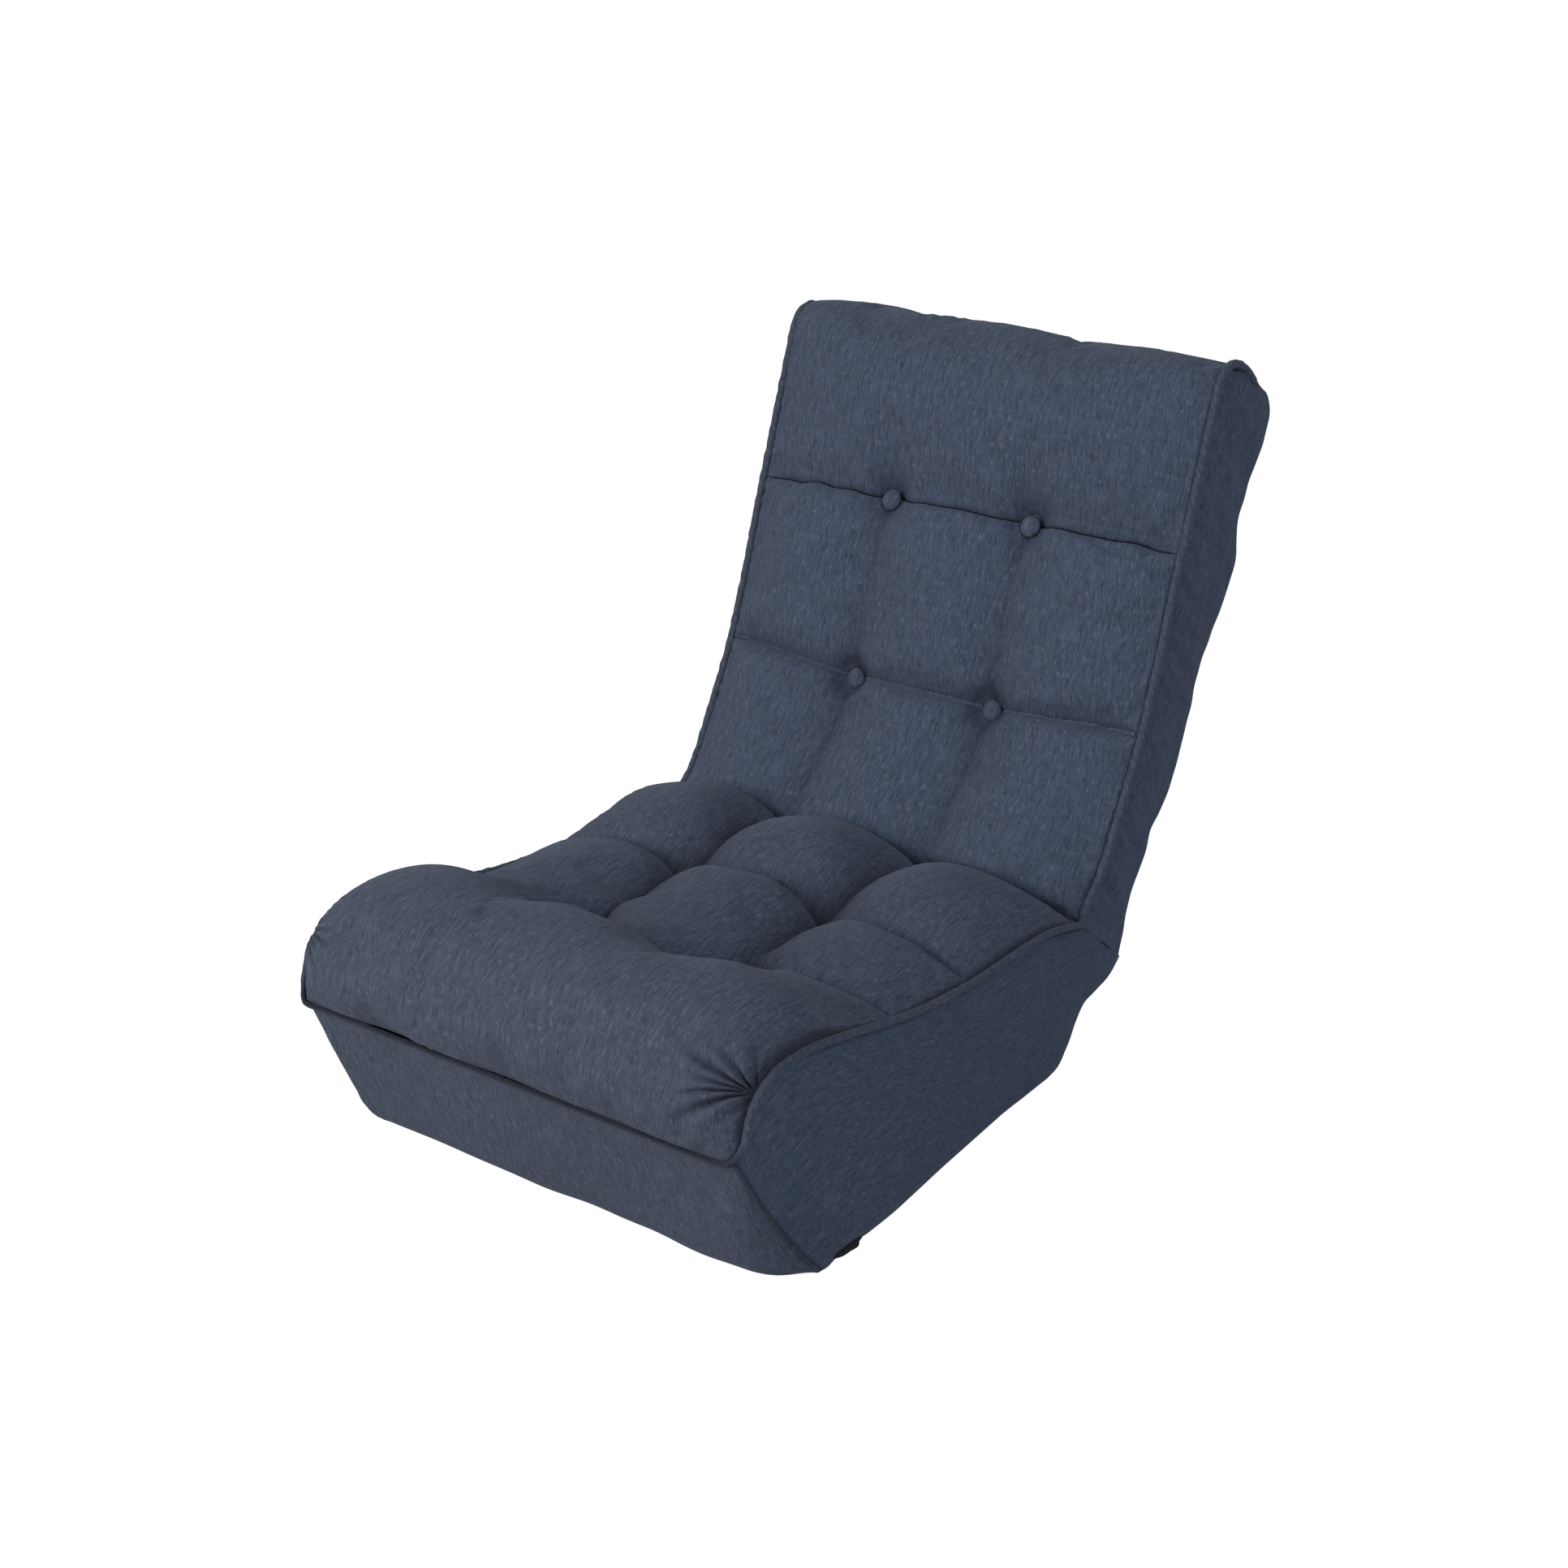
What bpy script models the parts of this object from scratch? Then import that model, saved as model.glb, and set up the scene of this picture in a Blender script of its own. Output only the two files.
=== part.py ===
"""Reclining floor chair: a tube frame with ratchet hinges between foam blocks, under tufted cushions.

The origin is the centre of the base on the floor. The sitter faces -Y, +Z is up, and the chair is
symmetrical about X = 0. Metres.

The seat is modelled in the world frame. The back and the head each have a frame of their own, on
their axle, with +Z along their side tubes and -Y towards the sitter. A ray is a straight line out
from an axle in the side view: ray() counts its angle from a frame's +Z towards the sitter.
"""

import math

import bmesh
import bpy
from mathutils import Matrix, Vector

# Driving dimensions, in metres and degrees
GAP = 0.0003  # between pieces that lie against each other
SEAM_HALF = 0.276  # middle of the chair to the side piping
COVER = 0.0025  # cover cloth with its backing
PIPING_R = 0.004
TUFT_X = SEAM_HALF / 3  # middle of the chair to a line of tufts
SEAT_DIP = 0.028
BACK_DIP = 0.022
TUFT_SPREAD = 0.022
CROWN_POWER = 5.0  # how flat a cushion stays across before it rounds down to its seams

# Seat
BASE_FRONT = -0.252
BASE_REAR = 0.254
BOTTOM_CLOTH = 0.0015
LIP_Y = -0.330  # front seam, the foremost line of piping
CORNER_R = 0.022
SEAM_SIDE = ((-0.330, 0.156), (-0.303, 0.198), (-0.276, 0.217), (-0.234, 0.227), (-0.176, 0.221),
             (-0.096, 0.202), (-0.026, 0.189), (0.048, 0.184), (0.188, 0.183), (0.277, 0.161))
SEAT_CROWN = ((-0.3257, 0.160), (-0.354, 0.206), (-0.330, 0.262), (-0.245, 0.289), (-0.152, 0.257),
              (-0.076, 0.226), (-0.012, 0.253), (0.046, 0.213), (0.142, 0.266), (0.2232, 0.2045))
ROLL_END = 0.50  # share of the seat's length where the front roll ends and the tufts begin

# Frame
TUBE_R = 0.0095
TUBE_WALL = 0.0012
TUBE_INSET = 0.048  # side piping to a side tube
TUBE_X = SEAM_HALF - TUBE_INSET
FRAME_FRONT = -0.205
BEND_R = 0.045
ROD_R = 0.005
SEAT_RODS = (-0.070, 0.110)

# Recline axle and back
AXLE_Y = 0.320
AXLE_Z = 0.112
BACK_LEAN = 27.1
BACK_LENGTH = 0.469  # recline axle to head axle; the places up the back are shares of it
BACK_SEAM = ((0.043, 0.067), (0.256, 0.052), (0.484, 0.049), (0.704, 0.060), (0.926, 0.0751))
BACK_REAR = ((0.0, 0.048), (0.128, 0.052), (0.299, 0.056), (0.469, 0.064), (0.704, 0.066),
             (0.917, 0.078), (1.0, 0.078))
BACK_RODS = (0.277, 0.704)
TUFT_ROW = 0.484  # lower row of buttons
UPPER_ROW = 0.922
FOOT = 0.192  # where the lumbar fold ends along the front seam
BACK_CROWN = 0.041
BUTTON_FACE = (0.0505, 0.0800)  # tubes to the underside of a lower and an upper button
TUFT_CROWN = 0.010  # crown left at a row of buttons
PUFF_START = 0.35  # share of a puff's rise that the lumbar fold has taken already
CREASE_RAY = 71.1  # where the seat ends, seen from the back's frame at rest
LUMBAR_RAY = 38.1  # where the back's cushion begins; soft filling folds between the two
GUSSET_RAY = -177.9  # where the seat's rear ends, seen from the back's frame at rest
KNUCKLE_RAY = -112.9  # where the back's rear begins
KNUCKLE_R = 0.056
SEAT_END_R = 0.1328  # crease to axle in the middle of the chair
SEAT_RIM_R = 0.0712  # crease to axle at the piping

# Head
HEAD_LEAN = 20.0
HEAD_SEAM = ((0.079, 0.020), (0.079, 0.080), (0.079, 0.130), (0.078, 0.165), (0.060, 0.186), (0.030, 0.192),
             (0.000, 0.192))
HEAD_CROWN = ((0.106, 0.044), (0.115, 0.090), (0.115, 0.135), (0.103, 0.172), (0.079, 0.193), (0.040, 0.203),
              (0.000, 0.203))
HEAD_REAR = ((0.024, 0.062), (0.075, 0.070), (0.124, 0.080), (0.155, 0.077), (0.176, 0.060), (0.192, 0.030),
             (0.196, 0.001))
HEAD_FRAME_TOP = 0.150
NECK_RAY = 110.0  # where the back's cushion ends, about the head axle
SCRUFF_RAY = 66.9  # where the head's cushion begins, in the head's frame
NAPE_RAY = -87.0  # where the back's rear ends, about the head axle
COLLAR_RAY = -77.1  # where the head's rear begins, in the head's frame
HUB_R = 0.0305  # clear room round each axle
HUB_PLAY = 0.003

# Ratchet hinges. Their angles count from +Y towards +Z with the housing's arm along -Y
PITCH = 7.5  # one position of the ratchet
RECLINE_STEPS = (-4, 8)  # forward and back from rest
HEAD_STEPS = (-4, 2)
CHEEK = 0.002
CHEEK_ROOM = 0.0046
SECTOR_THICK = 0.004
HOUSING_R = 0.026
TIP_R = 0.0222
TOOTH = 0.0022
TIP_LAND = 1.3
RAMP = 3.4
PAWL_CLEAR = 0.8  # degrees between the pawl's nose and each flank of its gap
RIVET_R = 0.004
RIVET_HEAD_R = 0.0065
RIVET_HEAD = 0.0014
PIN_R = 0.0025
PIN_BOSS_R = 0.0070
PAWL_DEEP = 0.0042  # the pawl's nose, tooth tips to its outer edge
PAWL_PIN_AT = (0.034, 205.0)
PAWL_MEETS = 250.0  # the loaded flank of the tooth that the pawl holds
PLATE_END = 0.046  # axle to a side tube's end
ARM_HALF = 0.0085
PLUG_R = 0.0077
PLUG_END = 0.068
LEAF = 0.0007
POCKET_HALF = 0.0078
POCKET_FRONT = 0.0125
POCKET_REAR = 0.0325

# Buttons
BUTTON_R = 0.012
BUTTON_THICK = 0.007
TWINE_R = 0.0014
WELL_R = 0.040  # mouth of the well that a button is pulled into

HEAD_START = 0.08  # share of the head's seam that its fold has taken already

FOAM_HALF = SEAM_HALF - PIPING_R - GAP
FRAME_ROOM = TUBE_R + GAP
ROD_ROOM = ROD_R + GAP


# Helpers

def ray(radius, degrees, centre=(0.0, 0.0)):
    """Point (y, z) at a radius on a ray counted from +Z towards the sitter."""
    angle = math.radians(degrees)
    return centre[0] - radius * math.sin(angle), centre[1] + radius * math.cos(angle)


def ray_arc(radius, start, end, centre=(0.0, 0.0), step=15.0):
    count = max(1, round(abs(end - start) / step))
    return [ray(radius, start + (end - start) * k / count, centre) for k in range(count + 1)]


def polar(radius, degrees, centre=(0.0, 0.0)):
    """Point (y, z) at a radius and an angle counted from +Y towards +Z."""
    angle = math.radians(degrees)
    return centre[0] + radius * math.cos(angle), centre[1] + radius * math.sin(angle)


def polar_arc(radius, start, end, centre=(0.0, 0.0), step=12.0):
    count = max(1, round(abs(end - start) / step))
    return [polar(radius, start + (end - start) * k / count, centre) for k in range(count + 1)]


def blend(points, share):
    """Point at a share of a list of points, on a smooth curve through them all."""
    place = min(max(share, 0.0), 1.0) * (len(points) - 1)
    i = min(int(place), len(points) - 2)
    t = place - i
    near = (points[min(max(k, 0), len(points) - 1)] for k in (i - 1, i, i + 1, i + 2))
    return tuple(0.5 * (2 * b + (c - a) * t + (2 * a - 5 * b + 4 * c - d) * t**2
                        + (3 * b - a - 3 * c + d) * t**3)
                 for a, b, c, d in zip(*near))


def height_of(points, position):
    """Second value of a list of points at a first value, by straight lines, held at both ends."""
    if position <= points[0][0]:
        return points[0][1]
    for (a, low), (b, high) in zip(points, points[1:]):
        if position <= b:
            return low + (high - low) * (position - a) / (b - a)
    return points[-1][1]


def mix(a, b, share):
    return a + (b - a) * share


def crowned(x):
    """Share of the crown at a distance from the middle: steep at the side seams, flat between."""
    return math.sqrt(max(0.0, 1 - abs(x / FOAM_HALF) ** CROWN_POWER))


def dip(x):
    """Depth share of the two lines of tufts across the width."""
    return math.exp(-((abs(x) - TUFT_X) / TUFT_SPREAD) ** 2)


def finish(name, colour, roughness, metallic=0.0):
    made = bpy.data.materials.new(name)
    made.use_nodes = True
    shader = made.node_tree.nodes["Principled BSDF"]
    shader.inputs["Base Color"].default_value = (*colour, 1.0)
    shader.inputs["Roughness"].default_value = roughness
    shader.inputs["Metallic"].default_value = metallic
    return made


def add(name, data, material, parent=None, location=(0, 0, 0), turned=0.0):
    """Links a named object on its parent, at a place there, turned about X by that many degrees."""
    made = bpy.data.objects.new(name, data)
    chair.objects.link(made)
    if material is not None:
        data.materials.append(material)
    made.parent = parent
    made.location = location
    made.rotation_euler = (math.radians(turned), 0, 0)
    return made


def closed(bm, name):
    """The finished mesh, its faces turned outwards."""
    bmesh.ops.recalc_face_normals(bm, faces=bm.faces)
    if bm.calc_volume(signed=True) < 0:
        bmesh.ops.reverse_faces(bm, faces=bm.faces)
    mesh = bpy.data.meshes.new(name)
    bm.to_mesh(mesh)
    bm.free()
    return mesh


def cushion(name, rows, place, parent=None):
    """A crowned pad from a coarse cage: place(x, v, top) gives a point of its top or of its flat face."""
    inner = [0.0, TUFT_X / 2, TUFT_X]
    outer = [mix(TUFT_X, FOAM_HALF, share) for share in (0.38, 0.74, 1.0)]
    stations = [-x for x in (inner + outer)[:0:-1]] + inner + outer
    columns = len(stations) - 1
    bm = bmesh.new()
    crease = bm.edges.layers.float.new("crease_edge")
    bmesh.ops.create_grid(bm, x_segments=columns, y_segments=rows, size=1.0)
    rim = [edge for edge in bm.edges if edge.is_boundary]
    skirt = bmesh.ops.extrude_edge_only(bm, edges=rim)["geom"]
    for vert in skirt:
        if isinstance(vert, bmesh.types.BMVert):
            vert.co.z = -1
    under = [edge for edge in skirt if isinstance(edge, bmesh.types.BMEdge) and edge.is_boundary]
    bmesh.ops.contextual_create(bm, geom=under)
    for edge in rim + under:
        edge[crease] = 1.0
    for vert in bm.verts:
        x = stations[round((vert.co.x + 1) / 2 * columns)]
        v = (vert.co.y + 1) / 2
        vert.co = place(x, v, vert.co.z > -0.5)
    made = add(name, closed(bm, name), linen, parent)
    soft = made.modifiers.new("soft", "SUBSURF")
    soft.levels = 1
    soft.render_levels = 1
    made.data.shade_smooth()
    return made


def plate(name, outline, thickness, material, parent=None, location=(0, 0, 0), turned=0.0, holes=()):
    """A plate from an outline of (y, z) points, as thick along X as asked and centred on its location."""
    curve = bpy.data.curves.new(name, "CURVE")
    curve.dimensions = "2D"
    curve.fill_mode = "BOTH"
    curve.extrude = thickness / 2
    for loop in (outline, *holes):
        spline = curve.splines.new("POLY")
        spline.points.add(len(loop) - 1)
        for point, (y, z) in zip(spline.points, loop):
            point.co = (y, z, 0, 1)
        spline.use_cyclic_u = True
    drawn = bpy.data.objects.new(name + "_outline", curve)
    chair.objects.link(drawn)
    bpy.context.view_layer.update()
    raised = bpy.data.meshes.new_from_object(drawn.evaluated_get(bpy.context.evaluated_depsgraph_get()))
    bpy.data.objects.remove(drawn)
    bm = bmesh.new()
    bm.from_mesh(raised)
    bpy.data.meshes.remove(raised)
    bmesh.ops.remove_doubles(bm, verts=bm.verts, dist=1e-6)
    bmesh.ops.dissolve_limit(bm, angle_limit=math.radians(1), verts=bm.verts, edges=bm.edges)
    # the drawing's own axes become Y and Z
    bm.transform(Matrix(((0, 0, 1, 0), (1, 0, 0, 0), (0, 1, 0, 0), (0, 0, 0, 1))))
    return add(name, closed(bm, name), material, parent, location, turned)


def ring(centre, radius, points=16):
    return [polar(radius, 360 * k / points, centre) for k in range(points)]


def turned_piece(name, profile, material, parent=None, location=(0, 0, 0), points=16, along="X"):
    """A solid of revolution from (radius, height) points, its height along an axis."""
    bm = bmesh.new()
    corners = [bm.verts.new((radius, 0, height)) for radius, height in profile]
    for a, b in zip(corners, corners[1:]):
        bm.edges.new((a, b))
    turn = {"X": Matrix.Rotation(math.radians(90), 4, "Y"), "-Y": Matrix.Rotation(math.radians(90), 4, "X")}
    bmesh.ops.spin(bm, geom=bm.verts[:] + bm.edges[:], axis=(0, 0, 1), cent=(0, 0, 0), angle=math.tau, steps=points,
                   use_merge=True)
    bmesh.ops.remove_doubles(bm, verts=bm.verts, dist=1e-6)
    bm.transform(turn[along])
    mesh = closed(bm, name)
    mesh.shade_smooth()
    mesh.set_sharp_from_angle(angle=math.radians(40))
    return add(name, mesh, material, parent, location)


def tube(name, points, radius, material, parent=None, wall=0.0, sides=12):
    """A bent tube along its points: hollow with open ends where it has a wall, else a closed bar."""
    curve = bpy.data.curves.new(name, "CURVE")
    curve.dimensions = "3D"
    curve.bevel_depth = radius
    curve.bevel_resolution = sides // 2 - 2
    curve.use_fill_caps = not wall
    spline = curve.splines.new("POLY")
    spline.points.add(len(points) - 1)
    for point, place in zip(spline.points, points):
        point.co = (*place, 1)
    made = add(name, curve, material, parent)
    if wall:
        bore = made.modifiers.new("bore", "SOLIDIFY")
        bore.thickness = wall
        bore.offset = -1.0
    return made


def solid_from(drawn, name, material=None):
    """The mesh of a drawn curve, in the curve's place."""
    bpy.context.view_layer.update()
    raised = bpy.data.meshes.new_from_object(drawn.evaluated_get(bpy.context.evaluated_depsgraph_get()))
    bm = bmesh.new()
    bm.from_mesh(raised)
    bpy.data.meshes.remove(raised)
    bmesh.ops.remove_doubles(bm, verts=bm.verts, dist=1e-6)
    made = add(name, closed(bm, name), material, drawn.parent)
    made.matrix_world = drawn.matrix_world
    bpy.data.objects.remove(drawn)
    return made


def as_cutter(made):
    """Takes a shape out of the model, for cutting or joining only."""
    made.hide_render = True
    made.display_type = "WIRE"
    chair.objects.unlink(made)
    cutters.objects.link(made)
    return made


def change(target, tool, operation="DIFFERENCE"):
    made = target.modifiers.new(operation.lower() + "_" + tool.name, "BOOLEAN")
    made.operation = operation
    made.object = tool


def box_cutter(name, low, high, parent=None):
    bm = bmesh.new()
    middle = [(a + b) / 2 for a, b in zip(low, high)]
    size = [b - a for a, b in zip(low, high)]
    bmesh.ops.create_cube(bm, size=1.0, matrix=Matrix.Translation(middle) @ Matrix.Diagonal((*size, 1)))
    return as_cutter(add(name, closed(bm, name), None, parent))


def tube_cutter(name, points, radius, parent=None, sides=12):
    return as_cutter(solid_from(tube(name + "_path", points, radius, None, parent, sides=sides), name))


def pivot(name, parent, location, turned):
    made = bpy.data.objects.new(name, None)
    chair.objects.link(made)
    made.parent = parent
    made.location = location
    made.rotation_euler = (math.radians(turned), 0, 0)
    return made


# Seat: its outline in plan at each height

def seat_front(z, grow):
    """Front face of the seat at a height: it leans out from the base to the front seam."""
    seam_z = SEAM_SIDE[0][1]
    return mix(BASE_FRONT, LIP_Y + PIPING_R + GAP, min(z / seam_z, 1.0)) - grow


def seat_end(z):
    """Where the seat stops at a height: its rear face, the room round the axle, then the crease."""
    up = z - AXLE_Z
    low_y, low_z = ray(KNUCKLE_R, GUSSET_RAY - BACK_LEAN)
    hub_y, hub_z = ray(HUB_R, GUSSET_RAY - BACK_LEAN)
    top_z = ray(HUB_R, CREASE_RAY - BACK_LEAN)[1]
    if up <= low_z:
        return mix(BASE_REAR, AXLE_Y + low_y, z / (AXLE_Z + low_z))
    if up <= hub_z:
        return AXLE_Y + mix(low_y, hub_y, (up - low_z) / (hub_z - low_z))
    if up <= top_z:
        return AXLE_Y - math.sqrt(HUB_R**2 - up**2)
    return AXLE_Y - up * math.tan(math.radians(CREASE_RAY - BACK_LEAN))


def seat_plan(z, grow, side=10, corner=3, across=6):
    """The seat's outline in plan from its left rear end round the front to its right rear end."""
    half = FOAM_HALF + grow
    radius = CORNER_R + grow
    start = seat_front(z, grow) + radius
    end = seat_end(min(z, SEAM_SIDE[-1][1]))
    left = [(-half, mix(end, start, (k / side) ** 0.75)) for k in range(side)]
    bend = [polar(radius, 180 + 90 * k / corner, (radius - half, start)) for k in range(corner)]
    middle = [(mix(radius - half, 0, k / across), start - radius) for k in range(across + 1)]
    line = left + bend + middle
    return line + [(-x, y) for x, y in line[-2::-1]]


def seat_seam_line():
    """Middle of the piping, point for point beside the cover's outline, and its end clear of the crease."""
    last = seat_end(SEAM_SIDE[-1][1] + 1.5 * PIPING_R)
    line = []
    for x, y in seat_plan(SEAM_SIDE[0][1], PIPING_R + GAP):
        height = height_of(SEAM_SIDE, min(y, last))
        line.append((x, y, height) if y < last else (x, last, height + 7 * GAP))
    return line


def prism(name, levels, place, material):
    """A closed block with one outline at each level: place(level) gives its points in order."""
    outlines = [place(level) for level in levels]
    count = len(outlines[0])
    bm = bmesh.new()
    bmesh.ops.create_circle(bm, cap_ends=False, radius=1.0, segments=count)
    bm.verts.ensure_lookup_table()
    loops = [sorted(bm.verts, key=lambda v: math.atan2(v.co.y, v.co.x) % math.tau)]
    start = bm.edges[:]
    for _ in levels[1:]:
        grown = bmesh.ops.extrude_edge_only(bm, edges=start)["geom"]
        fresh = [v for v in grown if isinstance(v, bmesh.types.BMVert)]
        loops.append(sorted(fresh, key=lambda v: math.atan2(v.co.y, v.co.x) % math.tau))
        start = [e for e in grown if isinstance(e, bmesh.types.BMEdge) and e.is_boundary]
    ends = [e for e in bm.edges if e.is_boundary]
    for loop, outline in zip(loops, outlines):
        for vert, point in zip(loop, outline):
            vert.co = point
    bmesh.ops.edgeloop_fill(bm, edges=ends)
    return add(name, closed(bm, name), material)


def seat_block(name, low, high, extra, grow, material):
    levels = [low] + [z for z in extra if low < z < high] + [high]
    return prism(name, levels, lambda z: [(x, y, z) for x, y in seat_plan(z, grow)], material)


def make_seat_base():
    floor = BOTTOM_CLOTH + GAP
    seat_block("seat_bottom_cloth", 0.0, BOTTOM_CLOTH, (), GAP + COVER, lining)
    rims = [AXLE_Z + ray(radius, GUSSET_RAY - BACK_LEAN)[1] for radius in (KNUCKLE_R, HUB_R)]
    hub = [AXLE_Z - HUB_R * share for share in (0.7, 0.4, 0.1)]
    return seat_block("seat_lower_foam", floor, AXLE_Z - GAP / 2, rims + hub, 0.0, foam)


def make_seat_boxing():
    """The side band of the cover, one strip from rear end round the front to rear end."""
    rows = 6
    floor = BOTTOM_CLOTH + GAP
    seam = [Vector(point) for point in seat_seam_line()]
    steep = [(b - a).length / (b - a).xy.length for a, b in zip(seam, seam[1:])]
    slopes = [max(pair) for pair in zip([steep[0]] + steep, steep + [steep[-1]])]
    rims = [point.z - (PIPING_R + GAP) * slope for point, slope in zip(seam, slopes)]
    last = len(rims) - 1

    def place(i, outside, j):
        z = mix(floor, rims[i], j / rows)
        x, y = seat_plan(z, GAP + COVER * outside)[i]
        return x, y, z

    bm = bmesh.new()
    bmesh.ops.create_cube(bm, size=1.0, matrix=Matrix.Translation((0.5, 0.5, 0.5)))
    for normal, count in ((Vector((1, 0, 0)), last), (Vector((0, 0, 1)), rows)):
        for k in range(1, count):
            bmesh.ops.bisect_plane(bm, geom=bm.verts[:] + bm.edges[:] + bm.faces[:], dist=1e-7,
                                   plane_co=normal * (k / count), plane_no=normal)
    for vert in bm.verts:
        vert.co = place(round(vert.co.x * last), round(vert.co.y), round(vert.co.z * rows))
    add("seat_boxing", closed(bm, "seat_boxing"), linen)


def make_seat_cushion():
    """Front roll, then two rows of three puffs, with the seam line drawn in along both sides."""
    rows = 18
    under = AXLE_Z + GAP / 2
    rear = seat_end(SEAM_SIDE[-1][1])
    edge = []
    for k in range(rows + 1):
        share = (k / rows) ** 1.3
        height = height_of(SEAM_SIDE, mix(LIP_Y, rear, share)) + GAP
        edge.append((mix(LIP_Y + PIPING_R + GAP, rear, share), height))

    def place(x, v, top):
        inset = max(0.0, abs(x) - FOAM_HALF + CORNER_R)
        corner = CORNER_R - math.sqrt(CORNER_R**2 - inset**2)
        if not top:
            front = seat_front(under, 0.0) + corner
            return x, mix(front, AXLE_Y - HUB_R - HUB_PLAY, v), under
        share = crowned(x)
        edge_y, edge_z = edge[round(v * rows)]
        crown_y, crown_z = blend(SEAT_CROWN, v)
        sewn = min(max((v - ROLL_END) / 0.1, 0.0), 1.0)
        y = mix(edge_y, crown_y, share) + corner * max(0.0, 1 - 3 * v)
        z = mix(edge_z, crown_z, share) - SEAT_DIP * dip(x) * sewn
        if v > 0.99:
            y = seat_end(z)
        return x, y, z

    return cushion("seat_cushion", rows, place)


def make_seat_piping():
    tube("seat_piping", seat_seam_line(), PIPING_R, welt, sides=8)


# Frame

def arch(half, start, end, bend, place):
    """Route of a U-shaped tube: both legs from start to end with rounded corners; place maps (x, way)."""
    way = 1 if end > start else -1
    left = [(-half, start)]
    for k in range(5):
        angle = math.radians(90 * k / 4)
        left.append((bend * (1 - math.cos(angle)) - half, end - way * bend * (1 - math.sin(angle))))
    return [place(x, t) for x, t in left] + [place(-x, t) for x, t in left[::-1]]


def make_frames():
    """The tubes and rods with the shapes that clear room for them: a list of cutters for each section."""
    seat_path = arch(TUBE_X, AXLE_Y - PLATE_END - GAP, FRAME_FRONT, BEND_R, lambda x, y: (x, y, AXLE_Z))
    long_path = arch(TUBE_X, AXLE_Y - HUB_R / 2, FRAME_FRONT, BEND_R, lambda x, y: (x, y, AXLE_Z))
    tube("seat_frame", seat_path, TUBE_R, steel, wall=TUBE_WALL)
    seat_cuts = [tube_cutter("seat_frame_room", long_path, FRAME_ROOM)]
    for name, y in zip(("front", "rear"), SEAT_RODS):
        rod(f"seat_rod_{name}", (y, AXLE_Z), None, seat_cuts)

    head_path = arch(TUBE_X, PLATE_END + GAP, HEAD_FRAME_TOP, BEND_R, lambda x, z: (x, 0, z))
    long_path = arch(TUBE_X, HUB_R / 2, HEAD_FRAME_TOP, BEND_R, lambda x, z: (x, 0, z))
    tube("head_frame", head_path, TUBE_R, steel, head, wall=TUBE_WALL)
    head_cuts = [tube_cutter("head_frame_room", long_path, FRAME_ROOM, head)]

    back_cuts = []
    for side, x in SIDES:
        ends = (PLATE_END + GAP, BACK_LENGTH - PLATE_END - GAP)
        tube(f"back_tube_{side}", [(x, 0, z) for z in ends], TUBE_R, steel, back, wall=TUBE_WALL)
        room = [(x, 0, HUB_R / 2), (x, 0, BACK_LENGTH - HUB_R / 2)]
        back_cuts.append(tube_cutter(f"back_tube_room_{side}", room, FRAME_ROOM, back))
    for name, share in zip(("lower", "upper"), BACK_RODS):
        rod(f"back_rod_{name}", (0, share * BACK_LENGTH), back, back_cuts)
    return seat_cuts, back_cuts, head_cuts


def rod(name, at, parent, cuts):
    """A cross rod welded between the side tubes, its ends just off their walls."""
    reach = TUBE_X - TUBE_R - GAP
    tube(name, [(-reach, *at), (reach, *at)], ROD_R, steel, parent, sides=10)
    cuts.append(tube_cutter(name + "_room", [(-TUBE_X, *at), (TUBE_X, *at)], ROD_ROOM, parent, sides=10))


# Ratchet hinge

def tooth_line(steps, arm):
    """Outline of the toothed part in the housing's angles at rest: a steep and a sloping flank a tooth."""
    root = TIP_R - TOOTH
    line = []
    for k in range(steps[0] - 1, steps[1] + 1):
        face = PAWL_MEETS + PITCH * k
        line += [polar(root, face), polar(TIP_R, face), polar(TIP_R, face + TIP_LAND),
                 polar(root, face + TIP_LAND + RAMP)]
    first = PAWL_MEETS + PITCH * (steps[0] - 1)
    last = PAWL_MEETS + PITCH * steps[1] + TIP_LAND + RAMP
    side = math.degrees(math.asin(ARM_HALF / root))
    return line, first, last, root, side


def make_sector(name, parent, x, steps, arm):
    """Toothed plate on the moving tube: the arm leaves the disc along the frame's own +Z."""
    line, first, last, root, side = tooth_line(steps, arm)
    up = arm + 360
    outline = line + polar_arc(root, last, up - side, step=16)[1:]
    end = PLATE_END
    for offset in (-ARM_HALF, ARM_HALF):
        outline.append((end * math.cos(math.radians(arm)) - offset * math.sin(math.radians(arm)),
                        end * math.sin(math.radians(arm)) + offset * math.cos(math.radians(arm))))
    outline += polar_arc(root, up + side, first + 360, step=16)[:-1]
    turned_line = [polar(math.hypot(y, z), math.degrees(math.atan2(z, y)) + 90 - arm) for y, z in outline]
    made = plate(name, turned_line, SECTOR_THICK, steel, parent, (x, 0, 0), holes=[ring((0, 0), RIVET_R + GAP)])
    plug = tube_cutter(name + "_plug", [(x, 0, PLATE_END - ARM_HALF / 2), (x, 0, PLUG_END)], PLUG_R, parent)
    change(made, plug, "UNION")


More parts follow.
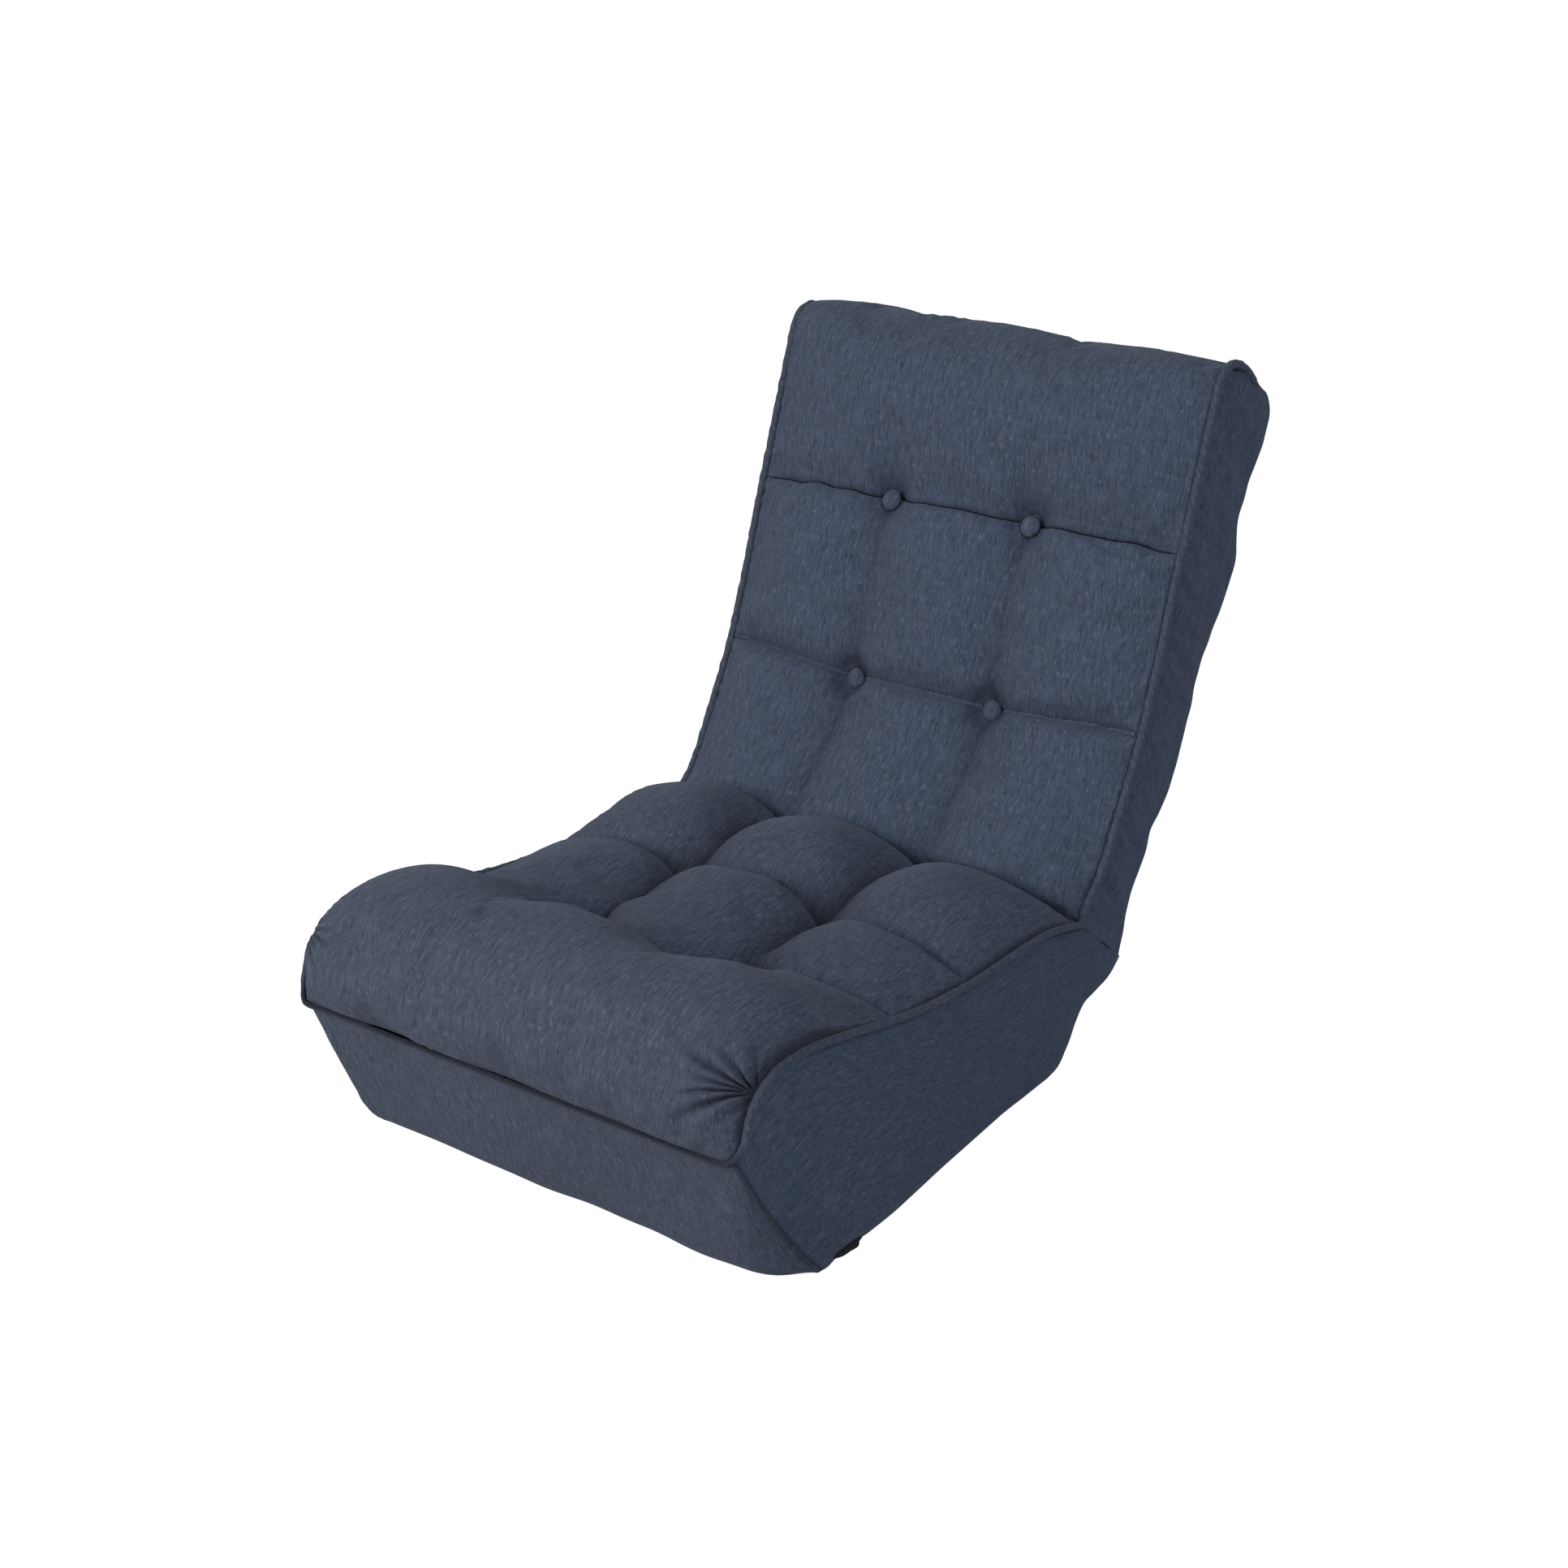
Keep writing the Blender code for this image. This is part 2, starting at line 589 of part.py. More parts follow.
def make_hinge(prefix, side, x, fixed, at, turned, moving, steps, arm):
    """One ratchet hinge. The housing is on the fixed tube at (y, z), the sector on the moving frame."""
    frame = pivot(f"{prefix}_hinge_{side}", fixed, (x, *at), turned)
    pin = polar(*PAWL_PIN_AT)
    cheek_turn = math.degrees(math.asin(ARM_HALF / HOUSING_R))
    outline = ([(-PLATE_END, ARM_HALF)] + polar_arc(HOUSING_R, 180 - cheek_turn, -96)
               + polar_arc(PIN_BOSS_R, -95, -200, pin) + [(-PLATE_END, -ARM_HALF)])
    holes = [ring((0, 0), RIVET_R + GAP), ring(pin, PIN_R + GAP, 10)]
    offset = (CHEEK_ROOM + CHEEK) / 2
    housing = plate(f"{prefix}_housing_{side}", outline, CHEEK, steel, frame, (-offset, 0, 0), holes=holes)
    other = as_cutter(plate(f"{prefix}_cheek_{side}", outline, CHEEK, None, frame, (offset, 0, 0), holes=holes))
    bridge = [(-PLATE_END - CHEEK, ARM_HALF - CHEEK), (-PLATE_END + 2 * CHEEK, ARM_HALF - CHEEK),
              (-PLATE_END + 2 * CHEEK, CHEEK - ARM_HALF), (-PLATE_END - CHEEK, CHEEK - ARM_HALF)]
    block = as_cutter(plate(f"{prefix}_bridge_{side}", bridge, CHEEK_ROOM + CHEEK, None, frame))
    plug = tube_cutter(f"{prefix}_plug_{side}", [(0, -PLATE_END, 0), (0, -PLUG_END, 0)], PLUG_R, frame)
    for piece in (other, block, plug):
        change(housing, piece, "UNION")

    outside = CHEEK_ROOM / 2 + CHEEK + GAP
    turned_piece(f"{prefix}_rivet_{side}", stud(RIVET_R, RIVET_HEAD_R, RIVET_HEAD, outside), bright, frame)
    pin_profile = stud(PIN_R, PIN_R + CHEEK / 2, RIVET_HEAD, outside)
    turned_piece(f"{prefix}_pawl_pin_{side}", pin_profile, bright, frame, (0, *pin), points=10)
    make_sector(f"{prefix}_sector_{side}", moving, x, steps, arm)
    make_pawl(f"{prefix}_pawl_{side}", frame, pin)
    make_leaf(f"{prefix}_pawl_spring_{side}", frame, pin)
    return box_cutter(f"{prefix}_pocket_{side}", (-POCKET_HALF, -PLATE_END - CHEEK, -POCKET_REAR),
                      (POCKET_HALF, 0, POCKET_FRONT), frame)


def stud(shank, head_radius, head_height, outside):
    """Profile of a headed pin, from its far end to its near one."""
    far = outside + head_height
    return ((0, far), (head_radius * 0.7, far), (head_radius, outside + head_height * 0.4), (head_radius, outside),
            (shank, outside), (shank, -outside), (head_radius, -outside),
            (head_radius, -outside - head_height * 0.4), (head_radius * 0.7, -far), (0, -far))


def make_pawl(name, frame, pin):
    """The pawl holds the steep flank of one tooth. It is drawn from its pin, with its nose in the gap."""
    root = TIP_R - TOOTH + GAP
    over = TIP_R + 2 * GAP
    steep = PAWL_MEETS - PAWL_CLEAR
    foot = PAWL_MEETS - PITCH + TIP_LAND + RAMP + PAWL_CLEAR
    crest = foot - RAMP * (over - root) / TOOTH
    heel = over + PAWL_DEEP
    nose = [polar(heel, steep), polar(over, steep), polar(root, steep), polar(root, foot), polar(over, crest)]
    inner = polar_arc(over, crest - 4, 222, step=8)
    boss = polar_arc(PIN_R * 2, 40, 265, pin, step=25)
    outline = [(y - pin[0], z - pin[1]) for y, z in nose + inner + boss]
    plate(name, outline, SECTOR_THICK, steel, frame, (0, *pin), holes=[ring((0, 0), PIN_R + GAP, 10)])


def make_leaf(name, frame, pin):
    """Leaf spring from the bridge along the outside of the pawl, pressing it into the teeth."""
    root = (-PLATE_END + 2 * CHEEK + GAP, -ARM_HALF)
    near = polar(PIN_R * 2 + GAP + LEAF / 2, 245, pin)
    tip = polar(TIP_R + PAWL_DEEP + 4 * GAP + LEAF, PAWL_MEETS - 5)
    middle = ((near[0] + tip[0]) / 2, (near[1] + tip[1]) / 2 - LEAF)
    line = [root, (mix(root[0], near[0], 0.5), near[1] - LEAF), near, middle, tip]
    lower = [(y, z - LEAF) for y, z in line]
    plate(name, line + lower[::-1], SECTOR_THICK, spring_steel, frame)


# Back

def back_seam(share):
    """Depth of the front seam at a share of the back's length."""
    return height_of(BACK_SEAM, share)


def back_top(depth):
    """Height of the flat end of the back's cushion at a depth in front of the tubes."""
    rim = back_seam(1.0) + TUFT_CROWN
    low = BACK_LENGTH - HUB_R - HUB_PLAY
    return mix(low, BACK_LENGTH - rim * math.tan(math.radians(NECK_RAY - 90)), depth / rim)


def make_back_cushion():
    """Two rows of three puffs between the lumbar fold and the upper line of buttons."""
    rows = 12
    top_seam = 1 - back_seam(1.0) / math.tan(math.radians(180 - NECK_RAY)) / BACK_LENGTH
    low = back_seam(FOOT) / math.tan(math.radians(LUMBAR_RAY)) / BACK_LENGTH
    tuft_share = 5 / rows

    def place(x, v, top):
        if not top:
            return x, -GAP / 2, mix(HUB_R + HUB_PLAY, BACK_LENGTH - HUB_R - HUB_PLAY, v)
        if v < tuft_share:
            share = mix(low, TUFT_ROW, v / tuft_share)
            puff = math.sin(math.pi * mix(PUFF_START, 1.0, v / tuft_share))
        else:
            share = mix(TUFT_ROW, top_seam, (v - tuft_share) / (1 - tuft_share))
            puff = math.sin(math.pi * (v - tuft_share) / (1 - tuft_share))
        rise = mix(TUFT_CROWN, BACK_CROWN, math.sqrt(max(puff, 0.0)))
        depth = back_seam(share) + rise * crowned(x) - BACK_DIP * dip(x) * max(puff, 0.0) ** 0.5
        s = share * BACK_LENGTH
        if v < 0.001:
            s = depth / math.tan(math.radians(LUMBAR_RAY))
        if v > 0.999:
            s = back_top(depth)
        return x, -depth, s

    return cushion("back_cushion", rows, place, back)


def back_seam_points():
    """The front seam in the side view between the lumbar fold and the upper buttons."""
    return [(-d, share * BACK_LENGTH) for share, d in BACK_SEAM if FOOT < share < UPPER_ROW]


def back_outline(front, rear):
    """Side view of the back between its front and rear limits, round the room of both axles."""
    top = (0.0, BACK_LENGTH)
    seam = back_seam_points()
    low = back_seam(FOOT) - front
    high = back_seam(1.0) - front
    front_line = [(-low, low / math.tan(math.radians(LUMBAR_RAY)))]
    front_line += [(y + front, z) for y, z in seam]
    front_line += [(-high, BACK_LENGTH - high * math.tan(math.radians(NECK_RAY - 90)))]
    line = ray_arc(HUB_R, KNUCKLE_RAY, LUMBAR_RAY) + front_line
    line += ray_arc(HUB_R, NECK_RAY, 360 + NAPE_RAY, top)
    nape = BACK_REAR[-1][1] - rear
    line += [(nape, BACK_LENGTH + nape / math.tan(math.radians(-NAPE_RAY)))]
    line += [(d - rear, share * BACK_LENGTH) for share, d in BACK_REAR[-2:0:-1]]
    knuckle = BACK_REAR[0][1] - rear
    line += [(knuckle, knuckle / math.tan(math.radians(-KNUCKLE_RAY)))]
    return line


def back_foam_outline():
    nape = BACK_REAR[-1][1]
    knuckle = BACK_REAR[0][1]
    half = GAP / 2
    line = [(half, BACK_LENGTH - HUB_R)] + ray_arc(HUB_R, 195, 360 + NAPE_RAY, (0.0, BACK_LENGTH))
    line += [(nape, BACK_LENGTH + nape / math.tan(math.radians(-NAPE_RAY)))]
    line += [(d, share * BACK_LENGTH) for share, d in BACK_REAR[-2:0:-1]]
    line += [(knuckle, knuckle / math.tan(math.radians(-KNUCKLE_RAY)))]
    line += ray_arc(HUB_R, KNUCKLE_RAY, -15) + [(half, HUB_R)]
    return line


def band(points, grow, thick):
    """A strip of cloth along (y, z) points that run up the rear, standing off by grow."""
    inner, outer = [], []
    for i, (y, z) in enumerate(points):
        a, b = points[max(i - 1, 0)], points[min(i + 1, len(points) - 1)]
        away = Vector((b[1] - a[1], a[0] - b[0])).normalized()
        inner.append((y + away.x * grow, z + away.y * grow))
        outer.append((y + away.x * (grow + thick), z + away.y * (grow + thick)))
    return inner + outer[::-1]


def make_back():
    cushion_made = make_back_cushion()
    block = plate("back_foam", back_foam_outline(), 2 * FOAM_HALF, foam, back)
    knuckle = BACK_REAR[0][1]
    rear = [(knuckle, knuckle / math.tan(math.radians(-KNUCKLE_RAY)))]
    rear += [(d, share * BACK_LENGTH) for share, d in BACK_REAR[1:]]
    plate("back_rear_panel", band(rear, GAP, COVER), 2 * (FOAM_HALF + GAP + COVER), linen_dark, back)
    for side, x in SIDES:
        way = 1 if x > 0 else -1
        place = (way * (FOAM_HALF + GAP + COVER / 2), 0, 0)
        plate(f"back_boxing_{side}", back_outline(PIPING_R + GAP, 0.0), COVER, linen, back, place)
        low = back_seam(FOOT)
        points = [(way * SEAM_HALF, -low, low / math.tan(math.radians(LUMBAR_RAY)))]
        points += [(way * SEAM_HALF, y, z) for y, z in back_seam_points()]
        points += [(way * SEAM_HALF, -back_seam(1.0), UPPER_ROW * BACK_LENGTH)]
        tube(f"back_piping_{side}", points, PIPING_R, welt, back, sides=8)
    return cushion_made, block


def make_buttons(targets):
    """Cloth-covered buttons on the two sewn lines, each on its twine and in a well in the cushion."""
    for line, share, face in zip(("lower", "upper"), (TUFT_ROW, UPPER_ROW), BUTTON_FACE):
        s = share * BACK_LENGTH
        for side, x in (("left", -TUFT_X), ("right", TUFT_X)):
            dome = ((0, face + BUTTON_THICK), (BUTTON_R * 0.55, face + BUTTON_THICK * 0.85),
                    (BUTTON_R * 0.9, face + BUTTON_THICK * 0.5), (BUTTON_R, face + BUTTON_THICK * 0.2),
                    (BUTTON_R * 0.8, face), (TWINE_R, face), (TWINE_R, 2 * GAP), (0, 2 * GAP))
            turned_piece(f"button_{line}_{side}", dome, linen, back, (x, 0, s), points=14, along="-Y")
            well = face - GAP
            hole = ((0, face + 5 * BUTTON_THICK), (WELL_R, face + 5 * BUTTON_THICK), (BUTTON_R + GAP * 3, well),
                    (TWINE_R + GAP, well), (TWINE_R + GAP, -GAP), (0, -GAP))
            name = f"button_room_{line}_{side}"
            room = as_cutter(turned_piece(name, hole, None, back, (x, 0, s), points=14, along="-Y"))
            for target in targets:
                change(target, room)


# Head

def make_head_cushion():
    """The head roll: smooth across the whole width, rolled over the top of the frame."""
    rows = 12
    half = GAP / 2

    def place(x, v, top):
        if not top:
            end = HEAD_CROWN if abs(x) < 0.9 * FOAM_HALF else HEAD_SEAM
            return x, -half, mix(HUB_R + HUB_PLAY, end[-1][1], v)
        share = crowned(x)
        edge_d, edge_s = blend(HEAD_SEAM, mix(HEAD_START, 1, v))
        crown_d, crown_s = blend(HEAD_CROWN, v)
        depth = mix(edge_d, crown_d, share)
        s = mix(edge_s, crown_s, share)
        if v < 0.001:
            s = depth / math.tan(math.radians(SCRUFF_RAY))
        if v > 0.999:
            depth = half + GAP * 5
        return x, -depth, s

    return cushion("head_cushion", rows, place, head)


def make_head():
    made = make_head_cushion()
    half = GAP / 2
    collar = HEAD_REAR[0][1]
    low = (collar, collar / math.tan(math.radians(-COLLAR_RAY)))
    outline = [low] + [(d, s) for s, d in HEAD_REAR[1:]] + [(half, HEAD_REAR[-1][0])]
    outline += [(half, HUB_R)] + ray_arc(HUB_R, -15, COLLAR_RAY)
    block = plate("head_foam", outline, 2 * FOAM_HALF, foam, head)
    rear = [low] + [(d, s) for s, d in HEAD_REAR[1:]]
    plate("head_rear_panel", band(rear, GAP, COVER), 2 * FOAM_HALF, linen_dark, head)
    inset = PIPING_R + GAP
    seam = [(d, s) for d, s in HEAD_SEAM[1:-1]]
    for side, x in SIDES:
        way = 1 if x > 0 else -1
        start = HEAD_SEAM[0][0]
        foot = (-(start - inset), (start - inset) / math.tan(math.radians(SCRUFF_RAY)))
        side_line = ray_arc(HUB_R, COLLAR_RAY, SCRUFF_RAY) + [foot]
        side_line += [(inset - d, s - (inset if s > HEAD_SEAM[3][1] else 0)) for d, s in seam]
        side_line += [(d, min(s, HEAD_SEAM[-1][1] - inset)) for s, d in HEAD_REAR[:0:-1]] + [low]
        place = (way * (FOAM_HALF + GAP + COVER / 2), 0, 0)
        plate(f"head_boxing_{side}", side_line, COVER, linen, head, place)
        points = [(way * SEAM_HALF, -start, start / math.tan(math.radians(SCRUFF_RAY)))]
        points += [(way * SEAM_HALF, -d, s) for d, s in seam]
        points += [(way * SEAM_HALF, HEAD_REAR[-2][1], HEAD_SEAM[-1][1])]
        tube(f"head_piping_{side}", points, PIPING_R, welt, head, sides=8)
    return made, block


# Soft filling in the folds

def make_folds():
    """Loose filling that closes up as a joint turns: it spans the folds in front of and behind each axle."""
    step = 0.2

    def lumbar(x, v, top):
        if not top:
            return (x, *ray(HUB_R + HUB_PLAY, mix(CREASE_RAY - step, LUMBAR_RAY + step, v)))
        slope = math.sin(math.radians(LUMBAR_RAY))
        side = mix(SEAT_RIM_R, back_seam(FOOT) / slope - GAP, v)
        middle = mix(SEAT_END_R - PIPING_R, (back_seam(FOOT) + BACK_CROWN * 0.9) / slope, v)
        radius = mix(side, middle, crowned(x)) - BACK_DIP * dip(x)
        return (x, *ray(radius, mix(CREASE_RAY - step, LUMBAR_RAY + step, v)))

    def neck(x, v, top):
        turned = mix(NECK_RAY, SCRUFF_RAY + BACK_LEAN - HEAD_LEAN + step, v)
        centre = (0.0, BACK_LENGTH)
        side = mix(back_seam(1.0), HEAD_SEAM[0][0], v) / math.sin(math.radians(turned)) - GAP
        rise = mix(TUFT_CROWN * 0.6, HEAD_CROWN[0][0] - HEAD_SEAM[0][0], v**0.7)
        y, z = ray(side + rise * crowned(x) if top else HUB_R + HUB_PLAY, turned, centre)
        return x, y, back_top(-y) + GAP if v < 0.001 else z

    cushion("lumbar_fold", 2, lumbar, back)
    neck_pad = cushion("neck_fold", 2, neck, back)

    wedge = ray_arc(HUB_R + GAP, KNUCKLE_RAY - step, GUSSET_RAY + step)
    wedge += ray_arc(KNUCKLE_R - 2 * GAP, GUSSET_RAY + step, KNUCKLE_RAY - step)
    plate("rear_gusset", wedge, 2 * FOAM_HALF, linen_dark, back)
    centre = (0.0, BACK_LENGTH)
    collar = COLLAR_RAY + BACK_LEAN - HEAD_LEAN
    nape = ray_arc(HUB_R + GAP, collar - step, NAPE_RAY + step, centre, step=8)
    nape += [ray(BACK_REAR[-1][1] - COVER, NAPE_RAY + step, centre), ray(HEAD_REAR[0][1], collar - step, centre)]
    plate("nape_fold", nape, 2 * FOAM_HALF, linen_dark, back)
    return neck_pad


# The chair

for old in list(bpy.data.objects):
    bpy.data.objects.remove(old)
chair = bpy.data.collections.new("floor_chair")
cutters = bpy.data.collections.new("cutters")
for group in (chair, cutters):
    bpy.context.scene.collection.children.link(group)

linen = finish("navy_linen", (0.040, 0.056, 0.090), 0.92)
linen_dark = finish("navy_linen_shaded", (0.030, 0.042, 0.070), 0.94)
welt = finish("navy_piping", (0.022, 0.030, 0.052), 0.90)
lining = finish("black_lining", (0.012, 0.012, 0.014), 0.95)
foam = finish("grey_foam", (0.45, 0.45, 0.43), 0.95)
steel = finish("black_enamelled_steel", (0.03, 0.03, 0.032), 0.45)
bright = finish("zinc_steel", (0.62, 0.62, 0.60), 0.35, 1.0)
spring_steel = finish("spring_steel", (0.30, 0.30, 0.32), 0.30, 1.0)

SIDES = (("left", -TUBE_X), ("right", TUBE_X))
back = pivot("back_on_recline_axle", None, (0, AXLE_Y, AXLE_Z), -BACK_LEAN)
head = pivot("head_on_head_axle", back, (0, 0, BACK_LENGTH), BACK_LEAN - HEAD_LEAN)
bpy.context.view_layer.update()

seat_foam = make_seat_base()
make_seat_boxing()
seat_pad = make_seat_cushion()
make_seat_piping()
seat_room, back_room, head_room = make_frames()
back_pad, back_block = make_back()
head_pad, head_block = make_head()
for side, x in SIDES:
    pocket = make_hinge("recline", side, x, None, (AXLE_Y, AXLE_Z), 0, back, RECLINE_STEPS, 90 - BACK_LEAN)
    seat_room.append(pocket)
    pocket = make_hinge("head", side, x, back, (0, BACK_LENGTH), 90, head, HEAD_STEPS, BACK_LEAN - HEAD_LEAN)
    back_room.append(pocket)
neck_pad = make_folds()
make_buttons((back_pad, neck_pad))
for room, targets in ((seat_room, (seat_foam, seat_pad)), (back_room, (back_block, back_pad)),
                      (head_room, (head_block, head_pad))):
    for tool in room:
        for target in targets:
            change(target, tool)
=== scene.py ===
"""Looks of the reclining floor chair: tufted linen cushions, piped seams, side and rear covers, dark lining.

The chair stands on the floor at the origin, the sitter faces -Y, +Z is up, and it is symmetrical about
X = 0. A cover is a grid of points: u runs along the chair, from the front seam over the seat, up the
back and over the head, and x runs across. The seams are two curves in the side view: the rim, where the
piping is, and the crown, the middle of the cushions. Sizes are in metres.
"""
import math
from collections import namedtuple

import bpy
import numpy as np
from mathutils import Matrix, Vector


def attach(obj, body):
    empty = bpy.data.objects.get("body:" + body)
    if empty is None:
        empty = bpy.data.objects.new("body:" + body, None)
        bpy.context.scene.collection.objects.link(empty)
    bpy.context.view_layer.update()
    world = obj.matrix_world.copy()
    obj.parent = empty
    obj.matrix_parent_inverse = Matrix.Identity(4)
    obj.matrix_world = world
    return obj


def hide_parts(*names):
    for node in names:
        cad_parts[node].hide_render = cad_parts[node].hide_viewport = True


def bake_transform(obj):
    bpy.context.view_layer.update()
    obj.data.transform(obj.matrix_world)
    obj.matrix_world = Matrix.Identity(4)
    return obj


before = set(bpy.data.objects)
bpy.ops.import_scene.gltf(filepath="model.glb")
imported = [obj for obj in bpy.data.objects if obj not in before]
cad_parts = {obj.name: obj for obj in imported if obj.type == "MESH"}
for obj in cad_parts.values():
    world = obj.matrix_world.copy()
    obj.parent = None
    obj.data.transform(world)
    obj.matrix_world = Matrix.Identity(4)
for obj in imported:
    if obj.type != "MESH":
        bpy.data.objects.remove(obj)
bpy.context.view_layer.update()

# Places shared with the model

HALF = 0.276  # middle of the chair to the side piping
TUFT_X = 0.092  # middle of the chair to a line of tufts
PIPING_R = 0.0042
BUTTON_R = 0.012
LOWER_BUTTONS = (0.227, 0.0505)  # height up the back, and how far before its tubes the undersides stand
UPPER_BUTTONS = (0.4325, 0.0800)
AXLE = np.array([0.320, 0.112])
BACK_LEAN = math.radians(27.1)
HEAD_LEAN = math.radians(20.0)
BACK_LENGTH = 0.469


def tilted(origin, lean, s, d):
    """Side-view point (y, z) at a height s along a leaning frame and a depth d in front of it."""
    return (origin[0] + s * math.sin(lean) - d * math.cos(lean),
            origin[1] + s * math.cos(lean) + d * math.sin(lean))


def back_point(s, d):
    return tilted(AXLE, BACK_LEAN, s, d)


NECK = np.array(back_point(BACK_LENGTH, 0))


def head_point(s, d):
    return tilted(NECK, HEAD_LEAN, s, d)


# Curves

def smooth(t):
    t = np.clip(t, 0, 1)
    return t * t * (3 - 2 * t)


def bump(distance, width):
    """1 at zero distance, 0 beyond the width."""
    return 1 - smooth(np.abs(distance) / width)


def short_of_rim(x, share):
    """1 over a cushion, down to 0 over the last share of its half width."""
    return smooth((1 - np.abs(x) / HALF) / share)


def tangents(curve):
    ahead = np.gradient(curve, axis=0)
    return ahead / np.linalg.norm(ahead, axis=1, keepdims=True)


def through(keys, u):
    """Smooth curve through rows of (u, value, ...), read at the places u."""
    keys = np.asarray(keys, float)
    knots, values = keys[:, 0], keys[:, 1:]
    slopes = np.gradient(values, knots, axis=0)
    k = np.clip(np.searchsorted(knots, u, side="right") - 1, 0, len(knots) - 2)
    span = (knots[k + 1] - knots[k])[:, None]
    t = np.clip((u - knots[k])[:, None] / span, 0, 1)
    a, b = values[k], values[k + 1]
    return ((1 + 2 * t) * (1 - t) ** 2 * a + t * (1 - t) ** 2 * span * slopes[k]
            + t * t * (3 - 2 * t) * b + t * t * (t - 1) * span * slopes[k + 1])


def by_length(points):
    """Rows of (share of length, coordinates) for a list of points."""
    points = np.asarray(points, float)
    run = np.concatenate([[0], np.cumsum(np.linalg.norm(np.diff(points, axis=0), axis=1))])
    return np.column_stack([run / run[-1], points])


def even(points, count):
    """A smooth line through points, read at even steps."""
    keys = by_length(through(by_length(points), np.linspace(0, 1, count * 6)))
    steps = np.linspace(0, 1, count)
    return np.stack([np.interp(steps, keys[:, 0], keys[:, k]) for k in range(1, keys.shape[1])], -1)


def graded(low, high, count, spots):
    """Places from low to high, closer together round each spot: (place, reach, times as close)."""
    fine = np.linspace(low, high, 4000)
    density = 1 + sum(times * bump(fine - at, reach) for at, reach, times in spots)
    total = np.concatenate([[0], np.cumsum((density[1:] + density[:-1]) / 2)])
    return np.interp(np.linspace(0, total[-1], count), total, fine)


def ripple(t, seed, period):
    """Uneven waves from -1 to 1 along t, the same at each run."""
    rng = np.random.default_rng(seed)
    total = 0
    for _ in range(5):
        scale = rng.uniform(0.55, 1.7)
        total = total + rng.uniform(0.5, 1) * np.sin(2 * math.pi * t / (period * scale) + rng.uniform(0, 7))
    return total / 2.6


def swell(a, b, seed, size):
    """Slow two-way unevenness from -1 to 1."""
    rng = np.random.default_rng(seed)
    total = 0
    for _ in range(7):
        turn = rng.uniform(0, math.pi)
        wave = size * rng.uniform(0.6, 1.6)
        place = a * math.cos(turn) + b * math.sin(turn)
        total = total + np.sin(2 * math.pi * place / wave + rng.uniform(0, 7))
    return total / 4


def pillow(t, round_, steep):
    """Height of a puff from its sewn edge, t = 0, to its middle, t = 1."""
    return (1 - (1 - np.clip(t, 0, 1)) ** round_) ** (1 / steep)


# Meshes

CLOTH = 0.0016  # thickness of a cover
ABOVE_FLOOR = 0.0006
LINING = 0.0005
CORD_LUMPS, LUMP_PERIOD = 0.10, 0.019  # unevenness of a cord's thickness, and how often it comes


def new_object(name, points, faces, material):
    mesh = bpy.data.meshes.new(name)
    mesh.from_pydata([tuple(p) for p in points], [], faces)
    mesh.materials.append(material)
    mesh.update()
    mesh.shade_smooth()
    made = bpy.data.objects.new(name, mesh)
    bpy.context.scene.collection.objects.link(made)
    return made


def set_weave(mesh, weave):
    """Stores each point's place on the flat cloth, in metres, for the weave."""
    attribute = mesh.attributes.new("weave", "FLOAT_VECTOR", "POINT")
    attribute.data.foreach_set("vector", np.asarray(weave, np.float32).ravel())


def set_shade(mesh, shade):
    """Stores each point's painted shade, from 0 to 1, for the cloth's colour: how deep the point lies in a
    seam or fold.
    """
    values = np.zeros(len(mesh.vertices), np.float32)
    values[:shade.size] = np.clip(shade, 0, 1).ravel()
    mesh.attributes.new("shade", "FLOAT", "POINT").data.foreach_set("value", values)


def lengths(grid, axis):
    """Length along one way of a grid of points, from its first row or column."""
    steps = np.cumsum(np.linalg.norm(np.diff(grid, axis=axis), axis=2), axis=axis)
    return np.insert(steps, 0, 0, axis=axis)


def flat_places(grid):
    """Each point's place on the flat cloth. The threads keep near to straight, so part of each is a mean."""
    along, across = lengths(grid, 0), lengths(grid, 1)
    across = across - across[:, -1:] / 2
    across = across * 0.3 + across.mean(0)[None, :] * 0.7
    along = along.mean(1)[:, None] * 0.6 + along * 0.4
    return np.stack([across, along, np.zeros_like(along)], -1)


def grid_faces(rows, columns, first=0, flip=False):
    faces = []
    for i in range(rows - 1):
        for j in range(columns - 1):
            a = first + i * columns + j
            quad = (a, a + 1, a + columns + 1, a + columns)
            faces.append(quad[::-1] if flip else quad)
    return faces


